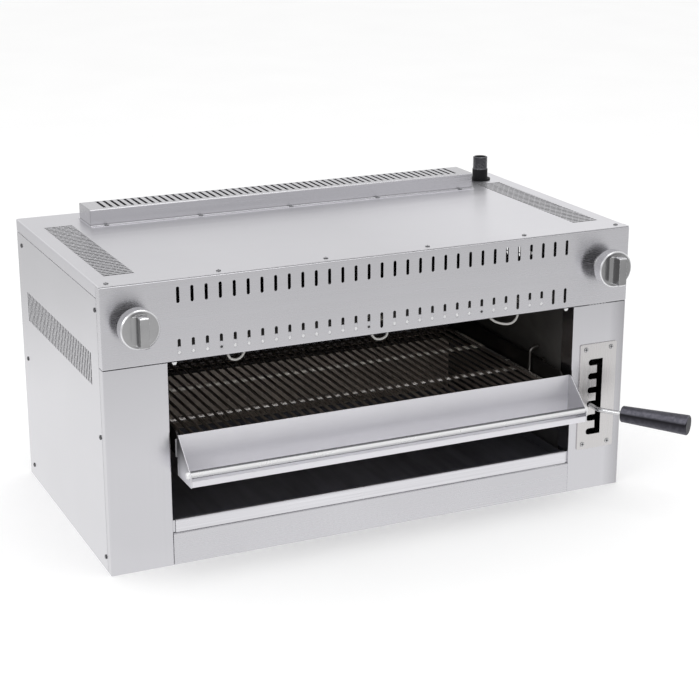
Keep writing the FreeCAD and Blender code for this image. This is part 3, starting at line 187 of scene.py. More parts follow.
def make_lead(name, points):
    """An ignition lead: a soft silicone-covered wire that hangs in a loop below the fascia."""
    data = bpy.data.curves.new(name, "CURVE")
    data.dimensions = "3D"
    spline = data.splines.new("NURBS")
    spline.points.add(len(points) - 1)
    for point, at in zip(spline.points, points):
        point.co = (at[0] * MM, at[1] * MM, at[2] * MM, 1.0)
        point.radius = LEAD_RADIUS * MM
    spline.order_u = 3
    spline.use_endpoint_u = True
    spline.resolution_u = 16
    data.bevel_depth = 1.0
    data.bevel_resolution = 6
    data.use_fill_caps = True
    lead = bpy.data.objects.new(name, data)
    bpy.context.scene.collection.objects.link(lead)
    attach(lead, "casing")
    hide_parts(name.replace("loop", "lead"))
    return lead


make_camera()
leads = []
for lead_name, (low_from, low_to, x_from, x_to, lead_length) in LEADS.items():
    route = [
        (x_from, Y_LEAD, Z_TERMINAL),
        (low_from[0], Y_LEAD, low_from[1]),
        (low_to[0], Y_LEAD, low_to[1]),
        (x_to, Y_LEAD, Z_IGNITER),
        (x_to, Y_IGNITER, Z_IGNITER),
    ]
    leads.append(make_lead(lead_name, route))


# Material helpers

def scaled(colour, factor):
    return tuple(channel * factor for channel in colour)


def drawn_out(along, across, lengthwise):
    """Scales of a pattern that is drawn out along one axis."""
    return tuple(lengthwise if letter == along else across for letter in "XYZ")


class Shader:
    """A small builder for node materials, whose places are in the object's own coordinates."""

    def __init__(self, name):
        self.material = bpy.data.materials.new(name)
        self.material.use_nodes = True
        self.tree = self.material.node_tree
        self.main = self.tree.nodes["Principled BSDF"]
        self.coords = self.tree.nodes.new("ShaderNodeTexCoord").outputs["Object"]

    def node(self, kind, **values):
        made = self.tree.nodes.new(kind)
        for key, value in values.items():
            setattr(made, key, value)
        return made

    def link(self, source, target):
        self.tree.links.new(source, target)

    def set(self, name, source):
        """Sets an input of the shader to a constant, or links a pattern to it."""
        if isinstance(source, float):
            self.main.inputs[name].default_value = source
        else:
            self.link(source, self.main.inputs[name])

    def noise(self, scale, detail=2.0, stretch=(1.0, 1.0, 1.0), distortion=0.0, turn=(0.0, 0.0, 0.0)):
        mapping = self.node("ShaderNodeMapping")
        mapping.inputs["Scale"].default_value = stretch
        mapping.inputs["Rotation"].default_value = turn
        self.link(self.coords, mapping.inputs["Vector"])
        noise = self.node("ShaderNodeTexNoise")
        noise.inputs["Scale"].default_value = scale
        noise.inputs["Detail"].default_value = detail
        noise.inputs["Distortion"].default_value = distortion
        self.link(mapping.outputs["Vector"], noise.inputs["Vector"])
        return noise.outputs["Fac"]

    def spread(self, source, low, high, start=0.3, end=0.7):
        """Maps start..end of a grey pattern to low..high."""
        ranged = self.node("ShaderNodeMapRange")
        for socket, value in zip(("From Min", "From Max", "To Min", "To Max"), (start, end, low, high)):
            ranged.inputs[socket].default_value = value
        self.link(source, ranged.inputs["Value"])
        return ranged.outputs["Result"]

    def ramp(self, source, start, end, low=0.0, high=1.0):
        """Goes from low to high between two places, in millimetres."""
        return self.spread(source, low, high, start * MM, end * MM)

    def step(self, source, place, low=0.0, high=1.0, soft=0.5):
        """Goes from low to high across a place, over a soft edge to each side of it, in millimetres."""
        return self.ramp(source, place - soft, place + soft, low, high)

    def math(self, operation, first, second=0.0):
        made = self.node("ShaderNodeMath", operation=operation)
        for socket, value in zip(made.inputs, (first, second)):
            if isinstance(value, float):
                socket.default_value = value
            else:
                self.link(value, socket)
        return made.outputs["Value"]

    def times(self, first, *others):
        for other in others:
            first = self.math("MULTIPLY", first, other)
        return first

    def most(self, first, *others):
        for other in others:
            first = self.math("MAXIMUM", first, other)
        return first

    def without(self, pattern, whole=1.0):
        return self.math("SUBTRACT", whole, pattern)

    def mix(self, factor, first, second):
        made = self.node("ShaderNodeMix", data_type="RGBA")
        for socket, value in ((made.inputs[0], factor), (made.inputs[6], first), (made.inputs[7], second)):
            if isinstance(value, float):
                socket.default_value = value
            elif isinstance(value, tuple):
                socket.default_value = (*value, 1.0)
            else:
                self.link(value, socket)
        return made.outputs[2]

    def blend(self, pattern, first, second, share=1.0):
        """Mixes two colours by a grey pattern, the second one up to a share."""
        return self.mix(self.spread(pattern, 0.0, share), first, second)

    def bump(self, height, distance, strength=1.0, edge=None):
        """Bump from a grey pattern, over edges rounded by a given radius in metres."""
        made = self.node("ShaderNodeBump")
        made.inputs["Strength"].default_value = strength
        made.inputs["Distance"].default_value = distance
        self.link(height, made.inputs["Height"])
        if edge:
            self.link(self.rounded(edge), made.inputs["Normal"])
        self.link(made.outputs["Normal"], self.main.inputs["Normal"])

    def rounded(self, radius):
        bevel = self.node("ShaderNodeBevel", samples=4)
        bevel.inputs["Radius"].default_value = radius
        return bevel.outputs["Normal"]

    def edges(self, radius):
        """1 on the very edges of a part, 0 on its faces."""
        flat = self.node("ShaderNodeNewGeometry").outputs["True Normal"]
        dot = self.node("ShaderNodeVectorMath", operation="DOT_PRODUCT")
        self.link(self.rounded(radius), dot.inputs[0])
        self.link(flat, dot.inputs[1])
        return self.spread(dot.outputs["Value"], 1.0, 0.0, 0.7, 0.98)

    def axis(self, letter):
        split = self.node("ShaderNodeSeparateXYZ")
        self.link(self.coords, split.inputs["Vector"])
        return split.outputs[letter]

    def aside(self):
        """How far a point lies to either side of the middle."""
        return self.math("ABSOLUTE", self.axis("X"))


# Kinds of material

# Scales of brush lines and of the lines on drawn rods: across them and along them
BRUSHED = (420.0, 3.0)
DRAWN = (700.0, 12.0)


def brushed(name, colour, along, rough=0.22, grain=0.035, edge=0.0006, smudge=0.03, shine=1.25, edge_glint=0.5,
            tone=None, metallic=1.0, stretched=0.65, relief=0.5):
    """Brushed sheet steel whose fine scratches run along one axis and smear reflections across it, with a
    painted highlight along its edges.
    """
    s = Shader(name)
    across = s.node("ShaderNodeCombineXYZ")
    for letter in "XYZ".replace(along, ""):
        across.inputs[letter].default_value = 0.7071
    s.link(across.outputs["Vector"], s.main.inputs["Tangent"])
    s.set("Anisotropic", stretched)
    stretch = drawn_out(along, *BRUSHED)
    fine = s.noise(1.0, 4.0, stretch)
    long = s.noise(1.0, 2.0, scaled(stretch, 0.28))
    cloud = s.noise(5.0, 3.0)
    lines = s.math("ADD", s.times(fine, 0.6), s.times(long, 0.4))
    base = s.blend(lines, scaled(colour, 1.0 - grain), scaled(colour, 1.0 + grain))
    base = s.blend(cloud, base, scaled(colour, 0.93), 0.35)
    # Painted highlight: the edges are mixed towards a brighter copy of the colour.
    base = s.mix(s.times(s.edges(edge), edge_glint), base, scaled(colour, shine))
    # The tone darkens the colour; for the lid, flue cover and trough it is painted shade.
    if tone:
        base = s.mix(tone(s), (0.0, 0.0, 0.0), base)
    s.set("Base Color", base)
    s.set("Metallic", metallic(s) if callable(metallic) else metallic)
    rough_lines = s.spread(lines, rough - 0.04, rough + 0.04)
    s.set("Roughness", s.math("ADD", rough_lines, s.spread(cloud, -smudge / 2, smudge / 2)))
    s.bump(lines, 0.00002, relief, edge)
    return s.material


def dark_steel(name, colour, tint, rough=0.45, metallic=0.85, edge=0.0005, scale=9.0, gloss=0.5):
    """Steel that heat and grease have darkened in patches."""
    s = Shader(name)
    patches = s.noise(scale, 5.0, distortion=0.4)
    fine = s.noise(160.0, 3.0)
    base = s.blend(patches, colour, tint)
    base = s.blend(fine, base, scaled(colour, 0.6), 0.5)
    # Painted highlight along the edges.
    base = s.mix(s.times(s.edges(edge), 0.35), base, scaled(colour, 2.2))
    s.set("Base Color", base)
    s.set("Metallic", metallic)
    s.set("Specular IOR Level", gloss)
    s.set("Roughness", s.spread(patches, rough - 0.08, rough + 0.1))
    s.bump(fine, 0.0001, 0.5, edge)
    return s.material


def rod_steel(name, colour, rough=0.2, along="X", metallic=1.0):
    """Bright drawn or plated rod with faint lines along it."""
    s = Shader(name)
    lines = s.noise(1.0, 3.0, drawn_out(along, *DRAWN))
    cloud = s.noise(22.0, 3.0)
    base = s.blend(lines, scaled(colour, 0.9), scaled(colour, 1.08))
    base = s.blend(cloud, base, scaled(colour, 0.82), 0.4)
    s.set("Base Color", base)
    s.set("Metallic", metallic)
    s.set("Roughness", s.spread(cloud, rough - 0.05, rough + 0.08))
    s.bump(lines, 0.00003, 0.5, 0.0004)
    return s.material


def moulded(name, colour, rough, pebble):
    """Silicone or ceramic with a very fine pebble."""
    s = Shader(name)
    edge = 0.0008
    grains = s.noise(pebble, 2.0)
    cloud = s.noise(25.0, 3.0)
    base = s.blend(cloud, colour, scaled(colour, 0.82), 0.5)
    # Painted highlight along the edges.
    base = s.mix(s.times(s.edges(edge), 0.4), base, scaled(colour, 1.5))
    s.set("Base Color", base)
    s.set("Roughness", s.spread(grains, rough - 0.05, rough + 0.07))
    s.bump(grains, 0.00005, 0.7, edge)
    return s.material


def burnt_wall(name, low_colour, high_colour, level, reach):
    """Lining sheet, browned low down and sooted above a level in millimetres, with streaks down it."""
    s = Shader(name)
    rough = 0.5
    streaks = s.noise(1.0, 4.0, (60.0, 60.0, 6.0))
    patches = s.noise(11.0, 4.0, distortion=0.6)
    brown = s.blend(patches, low_colour, scaled(low_colour, 0.62))
    brown = s.blend(streaks, brown, scaled(low_colour, 1.25), 0.45)
    soot = s.blend(patches, high_colour, scaled(high_colour, 0.6))
    s.set("Base Color", s.mix(s.step(s.axis("Z"), level, soft=reach), brown, soot))
    s.set("Metallic", 0.1)
    s.set("Roughness", s.spread(patches, rough - 0.08, rough + 0.1))
    s.bump(streaks, 0.0001, 0.4, 0.0005)
    return s.material


def perforated(name, colour):
    """Ceramic burner tile, pierced with rows of small holes and browned in patches."""
    s = Shader(name)
    cells = s.node("ShaderNodeTexVoronoi")
    cells.inputs["Scale"].default_value = 330.0
    cells.inputs["Randomness"].default_value = 0.05
    s.link(s.coords, cells.inputs["Vector"])
    hole = s.spread(cells.outputs["Distance"], 1.0, 0.0, 0.22, 0.34)
    base = s.blend(s.noise(30.0, 4.0), colour, scaled(colour, 0.7))
    # The holes are painted dark, as painted shade inside them.
    s.set("Base Color", s.mix(hole, base, scaled(colour, 0.12)))
    s.set("Roughness", 0.85)
    s.bump(hole, -0.0008, 0.8)
    return s.material


# Where a piece is darker than the rest of its sheet, much of it painted shade, and where it is less metallic

def lid_painted_shade(s):
    """Painted shade on the lid: towards its left, between its slots, on its folded front and underneath."""
    fade_start, fade_end = 20.0, 250.0
    aside, y = s.aside(), s.axis("Y")
    left = s.most(s.ramp(s.axis("X"), fade_start, fade_end, low=0.86), s.step(aside, X_SIDE - 2.0))
    fold = s.step(y, Y_FRONT + 1.9, low=0.84, soft=0.3)
    within = s.times(
        s.step(aside, X_SIDE - 3.0, 1.0, 0.0),
        s.step(y, Y_FRONT + 3.0),
        s.step(y, Y_BACK - 2.0, 1.0, 0.0),
    )
    under = s.times(within, s.step(s.axis("Z"), Z_TOP - 0.35, 0.88, 0.0, soft=0.15))
    vent = s.times(
        s.step(aside, LID_VENT_OUTER - LID_VENT_WIDTH),
        s.step(aside, LID_VENT_OUTER + 0.5, 1.0, 0.0),
        s.step(y, LID_VENT_BACK, 0.22, 0.0),
        s.step(y, LID_VENT_FRONT),
    )
    return s.times(left, fold, s.without(under), s.without(vent))


def flue_painted_shade(s):
    """The flue cover has a bright foot flange, a painted shadow line above it, and painted shade on its
    closed ends and top.
    """
    z = s.axis("Z")
    ends = s.step(s.aside(), X_FLUE - 1.0, 1.0, 0.78)
    wall = s.times(s.step(z, Z_TOP + 3.5, 0.45, 0.78), s.step(z, Z_TOP + 27.4, 1.0, 0.68, soft=0.2))
    return s.times(ends, s.most(wall, s.step(z, Z_TOP + 1.5, 1.0, 0.0, soft=0.2)))


def trough_painted_shade(s):
    """Painted shade darkens the inside of the trough's cheeks and, higher up, their outside."""
    shade_start, shade_full = 160.0, 195.0
    aside = s.aside()
    inside = s.times(
        s.step(aside, X_TROUGH - 1.8, soft=0.2),
        s.step(aside, X_TROUGH - 0.95, 0.42, 0.0, soft=0.15),
    )
    outside = s.times(
        s.step(aside, X_TROUGH - 0.07, soft=0.05),
        s.ramp(s.axis("Z"), shade_start, shade_full, high=0.85),
    )
    return s.without(s.most(inside, outside))


def trough_metal(s):
    """The foot of the trough's back is scoured dull."""
    fade_start, fade_end = 163.0, 178.0
    on_back = s.ramp(s.axis("Y"), Y_TROUGH_BACK - 3.0, Y_TROUGH_BACK - 1.5, high=0.5)
    return s.without(s.times(on_back, s.ramp(s.axis("Z"), fade_start, fade_end, 1.0, 0.0)), whole=0.75)


def column_tone(s):
    """The right column is darker towards its outer edge."""
    return s.ramp(s.axis("X"), X_SIDE - 30.0, X_SIDE - 2.0, 1.0, 0.72)


# Materials of single pieces

def knob_material():
    """Die-cast knobs: satin faces inside a rim with a painted highlight, and a finger bar with painted
    highlights on its ends and painted shade on its sides.
    """
    s = Shader("knob_silver")
    face, bright = (0.46, 0.46, 0.465), (0.80, 0.80, 0.82)
    cloud = s.noise(60.0, 3.0)
    rings = s.noise(1.0, 3.0, (900.0, 40.0, 900.0))
    across = s.math("SUBTRACT", s.aside(), KNOB.x * MM)
    upward = s.math("SUBTRACT", s.axis("Z"), KNOB.z * MM)
    square = s.math("ADD", s.times(across, across), s.times(upward, upward))
    rim = s.step(s.math("SQRT", square), KNOB_RIM)
    on_bar = s.ramp(s.axis("Y"), Y_KNOB_FACE - 1.5, Y_KNOB_FACE, 1.0, 0.0)
    beside = s.math("ABSOLUTE", across)
    # Painted shade on the sides of the finger bar and on the face beside it.
    side = s.times(on_bar, s.step(beside, KNOB_BAR_HALF, 0.0, 0.55, soft=0.3))
    scoop = s.times(s.without(on_bar), s.ramp(beside, KNOB_BAR_HALF + 0.5, 13.0, 0.42, 0.0))
    end = s.times(on_bar, s.ramp(s.math("ABSOLUTE", upward), 20.5, 22.0))
    base = s.blend(cloud, face, scaled(face, 0.86), 0.5)
    # Painted shade: the right knob is darker than the left.
    base = s.mix(s.ramp(s.axis("X"), -100.0, 100.0, high=0.22), base, (0.0, 0.0, 0.0))
    base = s.mix(s.math("ADD", side, scoop), base, scaled(face, 0.45))
    # Painted highlight on the rim, on the ends of the bar and along all edges.
    base = s.mix(s.most(rim, end, s.edges(0.0011)), base, bright)
    s.set("Base Color", base)
    s.set("Metallic", 1.0)
    s.set("Roughness", s.spread(cloud, 0.15, 0.24))
    s.bump(rings, 0.00002, 0.4, 0.0011)
    return s.material


def carrier_material():
    """The carriers: dark along their length, with a lighter tab at the front whose rim has a painted
    highlight.
    """
    s = Shader("carrier_steel")
    lines = s.noise(1.0, 4.0, drawn_out("Y", *BRUSHED))
    patches = s.noise(14.0, 4.0, distortion=0.4)
    dark = s.blend(patches, (0.032, 0.030, 0.028), (0.018, 0.017, 0.016))
    front = s.blend(lines, (0.30, 0.30, 0.31), (0.38, 0.38, 0.39))
    # Painted highlight along the edges of the tab.
    front = s.mix(s.edges(0.0016), front, (0.95, 0.95, 0.97))
    on_tab = s.step(s.axis("Y"), Y_FRONT + 6.0, 1.0, 0.0, soft=0.2)
    s.set("Base Color", s.mix(on_tab, dark, front))
    s.set("Metallic", s.spread(on_tab, 0.6, 0.1, 0.0, 1.0))
    s.set("Roughness", s.spread(patches, 0.34, 0.52))
    s.bump(lines, 0.00003, 0.5, 0.0006)
    return s.material


def handle_material():
    """The trough's handle: polished, with a painted shadow along its top and painted shade over its lower
    half, which leave a bright band between them as a painted highlight, and bright ends.
    """
    s = Shader("handle_steel")
    lines = s.noise(1.0, 3.0, drawn_out("X", *DRAWN))
    cloud = s.noise(22.0, 3.0)
    base = s.blend(lines, (0.88, 0.88, 0.89), (0.97, 0.97, 0.98))
    z = s.axis("Z")
    bar = s.step(s.aside(), X_TROUGH - 1.25, 1.0, 0.0, soft=0.25)
    # Painted shadow along the top of the bar and painted shade over its lower half.
    top_shadow = s.times(bar, s.step(z, Z_HANDLE + 4.4, soft=0.4))
    lower_shade = s.times(bar, s.ramp(z, Z_HANDLE - 0.5, Z_HANDLE + 1.2, 1.0, 0.0))
    base = s.mix(lower_shade, base, (0.56, 0.56, 0.575))
    base = s.mix(top_shadow, base, (0.16, 0.16, 0.17))
    s.set("Base Color", base)
    s.set("Metallic", s.spread(lower_shade, 0.35, 0.9, 0.0, 1.0))
    s.set("Roughness", s.spread(cloud, 0.22, 0.32))
    s.bump(lines, 0.00003, 0.5, 0.0004)
    return s.material


def rack_frame_material():
    """The rack's frame: bare at the front, pale in the middle as painted light, and dark at the back as
    painted shade.
    """
    s = Shader("rack_frame_steel_painted_light_and_shade")
    lines = s.noise(1.0, 3.0, drawn_out("X", *DRAWN))
    cloud = s.noise(22.0, 3.0)
    y = s.axis("Y")
    base = s.blend(lines, (0.66, 0.63, 0.60), (0.78, 0.75, 0.72))
    base = s.blend(cloud, base, (0.45, 0.42, 0.39), 0.4)
    # Painted light: the frame is paler from the middle back.
    pale = s.ramp(y, RACK_PALE_FROM, RACK_PALE_FROM + 10.0)
    base = s.mix(pale, base, (0.99, 0.94, 0.86))
    # Painted shade: the back of the frame is dark.
    base = s.mix(s.ramp(y, RACK_SHADED_FROM, RACK_SHADED_FROM + 30.0), base, (0.07, 0.06, 0.055))
    s.set("Base Color", base)
    s.set("Metallic", s.spread(pale, 0.7, 0.1, 0.0, 1.0))
    s.set("Roughness", s.spread(cloud, 0.2, 0.34))
    s.bump(lines, 0.00003, 0.5, 0.0004)
    return s.material


def grip_material():
    """The black grip: fine pebbled plastic, with a painted sheen in grey bands above and below and a painted
    highlight along the edge of its flat end.
    """
    s = Shader("grip_black")
    grains = s.noise(900.0, 2.0)
    cloud = s.noise(25.0, 3.0)
    facing = s.node("ShaderNodeSeparateXYZ")
    s.link(s.node("ShaderNodeTexCoord").outputs["Normal"], facing.inputs["Vector"])
    upward = facing.outputs["Z"]
    base = s.blend(cloud, (0.008, 0.007, 0.011), (0.005, 0.005, 0.007), 0.5)
    # Painted sheen: faces turned partly up and faces turned down are lighter grey.
    above = s.times(s.spread(upward, 0.0, 1.0, 0.28, 0.50), s.spread(upward, 1.0, 0.45, 0.74, 0.90))
    below = s.spread(upward, 0.75, 0.0, -0.80, 0.20)
    painted_sheen = s.blend(s.noise(170.0, 2.0), (0.170, 0.167, 0.200), (0.095, 0.093, 0.115))
    base = s.mix(s.most(above, below), base, painted_sheen)
    # Painted highlight along the edges.
    base = s.mix(s.edges(0.0016), base, (0.16, 0.16, 0.18))
    s.set("Base Color", base)
    s.set("Roughness", s.spread(grains, 0.40, 0.52))
    s.set("Specular IOR Level", 0.16)
    s.bump(grains, 0.00005, 0.7, 0.0008)
    return s.material


def tray_material():
    """The crumb tray: bright outside at its front, dark inside, with painted light and shadow in stripes from
    the rack's bars.
    """
    s = Shader("tray_two_tone")
    lines = s.noise(1.0, 4.0, drawn_out("X", *BRUSHED))
    patches = s.noise(7.0, 5.0, distortion=0.5)
    # Painted light and shadow in stripes, as cast through the rack's bars.
    rack_light_stripes = s.noise(1.0, 2.0, (60.0, 6.0, 6.0), 0.0, (0.0, 0.0, 0.7))
    bright = s.blend(lines, scaled(STEEL, 1.08), scaled(STEEL, 1.22))
    inner_dark = s.blend(patches, (0.11, 0.11, 0.13), (0.06, 0.06, 0.07))
    inner_dark = s.blend(rack_light_stripes, inner_dark, (0.17, 0.17, 0.20), 0.5)
    inside = s.step(s.axis("Y"), Y_FRONT + 5.5)
    s.set("Base Color", s.mix(inside, bright, inner_dark))
    s.set("Metallic", s.spread(inside, 1.0, 0.3, 0.0, 1.0))
    inner_rough = s.spread(inside, 0.28, 0.45, 0.0, 1.0)
    s.set("Roughness", s.math("ADD", inner_rough, s.spread(patches, -0.04, 0.06)))
    s.bump(lines, 0.00004, 0.5, 0.0006)
    return s.material


# Palette

STEEL = (0.640, 0.635, 0.662)
steel_x = brushed("steel_grain_x", STEEL, "X", rough=0.27, stretched=0.8, grain=0.02, relief=0.25)
steel_y = brushed("steel_grain_y", scaled(STEEL, 1.02), "Y")
steel_z = brushed("steel_grain_z", STEEL, "Z", grain=0.02, tone=column_tone)
# The lid's edges carry a stronger painted highlight.
lid_steel = brushed("lid_steel", scaled(STEEL, 1.10), "X", rough=0.32, edge=0.0011, shine=1.4, edge_glint=0.9,
                    tone=lid_painted_shade)
flue_steel = brushed("flue_steel", scaled(STEEL, 1.46), "X", rough=0.25, shine=1.02, tone=flue_painted_shade)
plate_steel = brushed("steel_plate", (0.64, 0.625, 0.625), "Z", rough=0.26)
# The webs are darker than their sheet, as painted shade where they sit back in the slots.
web_steel = brushed("web_steel", scaled(STEEL, 0.42), "Y", rough=0.4)
zinc = brushed("zinc_sheet", (0.50, 0.51, 0.53), "X", rough=0.42, smudge=0.12)
# The trough's edges carry a stronger painted highlight.
trough_steel = brushed("steel_trough", scaled(STEEL, 1.36), "X", rough=0.40, grain=0.015, edge=0.0012,
                       shine=1.1, edge_glint=0.9, tone=trough_painted_shade, metallic=trough_metal)
cavity_side = burnt_wall("heat_dark_side", (0.055, 0.053, 0.056), (0.11, 0.105, 0.10), 190.0, 30.0)
cavity_rear = burnt_wall("heat_dark_rear", (0.72, 0.63, 0.55), (0.13, 0.13, 0.15), 172.0, 3.0)
cavity = dark_steel("heat_dark_floor", (0.26, 0.24, 0.225), (0.13, 0.122, 0.115), rough=0.5, metallic=0.15)
burnt_sheet = dark_steel("heat_dark_ceiling", (0.055, 0.05, 0.046), (0.03, 0.028, 0.026), rough=0.75,
                         metallic=0.2)
rack_dark = dark_steel("rack_bar_steel", (0.27, 0.232, 0.205), (0.11, 0.094, 0.083), rough=0.36, metallic=0.5)
linkage = dark_steel("linkage_steel", (0.055, 0.050, 0.046), (0.030, 0.027, 0.025), metallic=0.6)
recess_dark = dark_steel("screw_recess", (0.10, 0.10, 0.105), (0.05, 0.05, 0.053), rough=0.4, scale=80.0)
black_pipe = dark_steel("black_pipe", (0.006, 0.006, 0.009), (0.004, 0.004, 0.005), rough=0.5, metallic=0.0,
                        gloss=0.22)
thread_steel = dark_steel("thread_steel", (0.15, 0.15, 0.16), (0.07, 0.07, 0.08), rough=0.3, metallic=1.0,
                          scale=60.0)
finger_steel = rod_steel("finger_steel", (0.24, 0.23, 0.22), rough=0.3, along="Z")
lever_steel = rod_steel("lever_steel", (0.60, 0.60, 0.61), along="Y")
screw_steel = rod_steel("screw_steel", (0.26, 0.26, 0.27), rough=0.3, along="Z")
screw_painted_light = rod_steel("screw_painted_light", (0.52, 0.52, 0.54), rough=0.32, along="Z")
screw_bright = rod_steel("screw_bright", (0.62, 0.62, 0.63), rough=0.16, along="Z")
bezel_silver = rod_steel("bezel_silver", (0.60, 0.60, 0.61), rough=0.22)
pressed_bright = rod_steel("pressed_bright", (0.90, 0.90, 0.91), rough=0.3, metallic=0.5)
brass = rod_steel("brass", (0.62, 0.45, 0.20), rough=0.3, along="Y")
ceramic = moulded("ceramic_white", (0.70, 0.66, 0.58), rough=0.55, pebble=500.0)
sleeve = moulded("lead_sleeve", (0.56, 0.55, 0.53), rough=0.5, pebble=700.0)
tile = perforated("tile_ceramic", (0.42, 0.33, 0.26))

FINISH = (
    (steel_x, "base_pan fascia slot_strip low_panel"),
    (steel_y, "side_panel_left side_panel_right"),
    (steel_z, "column_left column_right"),
    (zinc, "corner_posts back_panel"),
    (lid_steel, "lid"),
    (flue_steel, "flue_cover"),
    (plate_steel, "selector_plate"),
    (screw_steel, "selector_screws casing_screws stem_left stem_right"),
    (cavity_side, "cavity_wall_left cavity_wall_right"),
    (cavity_rear, "cavity_back"),
    (cavity, "cavity_floor tray_guides"),
    (burnt_sheet, "ceiling burner_left burner_right gas_pipe"),
    (tile, "burner_tiles"),
    (brass, "valve_left valve_right plug_left plug_right shaft_bushes"),
    (bezel_silver, "bezel_left bezel_right"),
    (knob_material(), "knob_left knob_right"),
    (black_pipe, "gas_inlet inlet_flange"),
    (ceramic, "igniters lead_terminals"),
    (linkage, "lift_shaft lift_arm_left lift_arm_right lever_hub link_shaft link_arm_left link_arm_right"),
    (lever_steel, "lever_rod"),
    (grip_material(), "lever_grip"),
    (carrier_material(), "carrier_left carrier_right"),
    (finger_steel, "hold_down_fingers"),
    (rack_frame_material(), "rack_frame"),
    (rack_dark, "rack_bars"),
    (trough_steel, "trough"),
    (handle_material(), "trough_handle"),
    (tray_material(), "crumb_tray"),
)
for finish, node_names in FINISH:
    for node_name in node_names.split():
        for slot in nodes[node_name].material_slots:
            slot.material = finish
for lead in leads:
    lead.data.materials.append(sleeve)


# Mesh helpers

def add_piece(name, mesh, material, stands_for=()):
    """Puts a finished mesh on the casing, in place of the nodes that it stands for."""
    piece = bpy.data.objects.new(name, mesh)
    mesh.materials.append(material)
    bpy.context.scene.collection.objects.link(piece)
    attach(piece, "casing")
    if stands_for:
        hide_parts(*stands_for)


def block(bm, low, high):
    """Adds a box between two corners, in millimetres."""
    centre = [(a + b) / 2 * MM for a, b in zip(low, high)]
    size = [(b - a) * MM for a, b in zip(low, high)]
    matrix = Matrix.Translation(centre) @ Matrix.Diagonal((*size, 1.0))
    bmesh.ops.create_cube(bm, size=1.0, matrix=matrix)


def prism(bm, outline, y_front, y_back):
    """A plate with the outline of the given x and z points, between two upright planes."""
    rings = [[bm.verts.new(Vector((x, y, z)) * MM) for x, z in outline] for y in (y_front, y_back)]
    for ring in rings:
        bm.faces.new(ring)
    for k in range(len(outline)):
        after = (k + 1) % len(outline)
        bm.faces.new((rings[0][k], rings[0][after], rings[1][after], rings[1][k]))


def lathe(bm, rows, place, segments):
    """Joins rings of points into a skin: each row gives radius and height as functions of the angle."""
    rings = []
    for row in rows:
        ring = []
        for k in range(segments):
            angle = 2 * math.pi * k / segments
            radius, height = row(angle)
            spot = place @ Vector((radius * math.cos(angle), radius * math.sin(angle), height))
            ring.append(bm.verts.new(spot * MM))
        rings.append(ring)
    for low, high in zip(rings, rings[1:]):
        for k in range(segments):
            after = (k + 1) % segments
            bm.faces.new((low[k], low[after], high[after], high[k]))
    return rings


def even(radius, height):
    """A row of a lathe that is the same all round."""
    return lambda angle: (radius, height)


def facing(outward):
    """The turn that takes upward to a direction."""
    return Vector(outward).to_track_quat("Z", "Y").to_matrix().to_4x4()


def clipped(value):
    """A value kept from 0 to 1."""
    return max(0.0, min(1.0, value))


def finished_mesh(bm, name, smooth=0.0):
    """Turns the work mesh into a finished one, smooth where faces meet at less than an angle."""
    bmesh.ops.recalc_face_normals(bm, faces=bm.faces)
    limit = math.radians(smooth)
    for face in bm.faces:
        face.smooth = smooth > 0.0
    for edge in bm.edges:
        edge.smooth = len(edge.link_faces) == 2 and edge.calc_face_angle(0.0) < limit
    mesh = bpy.data.meshes.new(name)
    bm.to_mesh(mesh)
    bm.free()
    return mesh


# Pieces

def vent_webs():
    """The short bridges that break each pressed vent slot, set off from one slot to the next."""
    bm = bmesh.new()
    cuts = ((1 / 4, 1 / 2, 3 / 4), (1 / 8, 3 / 8, 5 / 8, 7 / 8))
    for i in range(SIDE_VENT_SLOTS):
        y = SIDE_VENT_FRONT + VENT_PITCH * (i + 0.5)
        for cut in cuts[i % 2]:
            z = SIDE_VENT_LOW + SIDE_VENT_HEIGHT * cut
            for x in (-X_SIDE + WEB_SINK, X_SIDE - SHEET + WEB_SINK):
                low = (x, y - WEB_REACH, z - WEB_HALF)
                block(bm, low, (x + SHEET - 2 * WEB_SINK, y + WEB_REACH, z + WEB_HALF))
    for i in range(LID_VENT_SLOTS):
        y = LID_VENT_FRONT + VENT_PITCH * (i + 0.5)
        for cut in cuts[i % 2]:
            inward = LID_VENT_OUTER - LID_VENT_WIDTH * cut
            for x in (-inward, inward):
                low = (x - WEB_HALF, y - WEB_REACH, Z_TOP - SHEET)
                block(bm, low, (x + WEB_HALF, y + WEB_REACH, Z_TOP - LID_WEB_SINK))
    add_piece("vent_webs", finished_mesh(bm, "vent_webs"), web_steel)


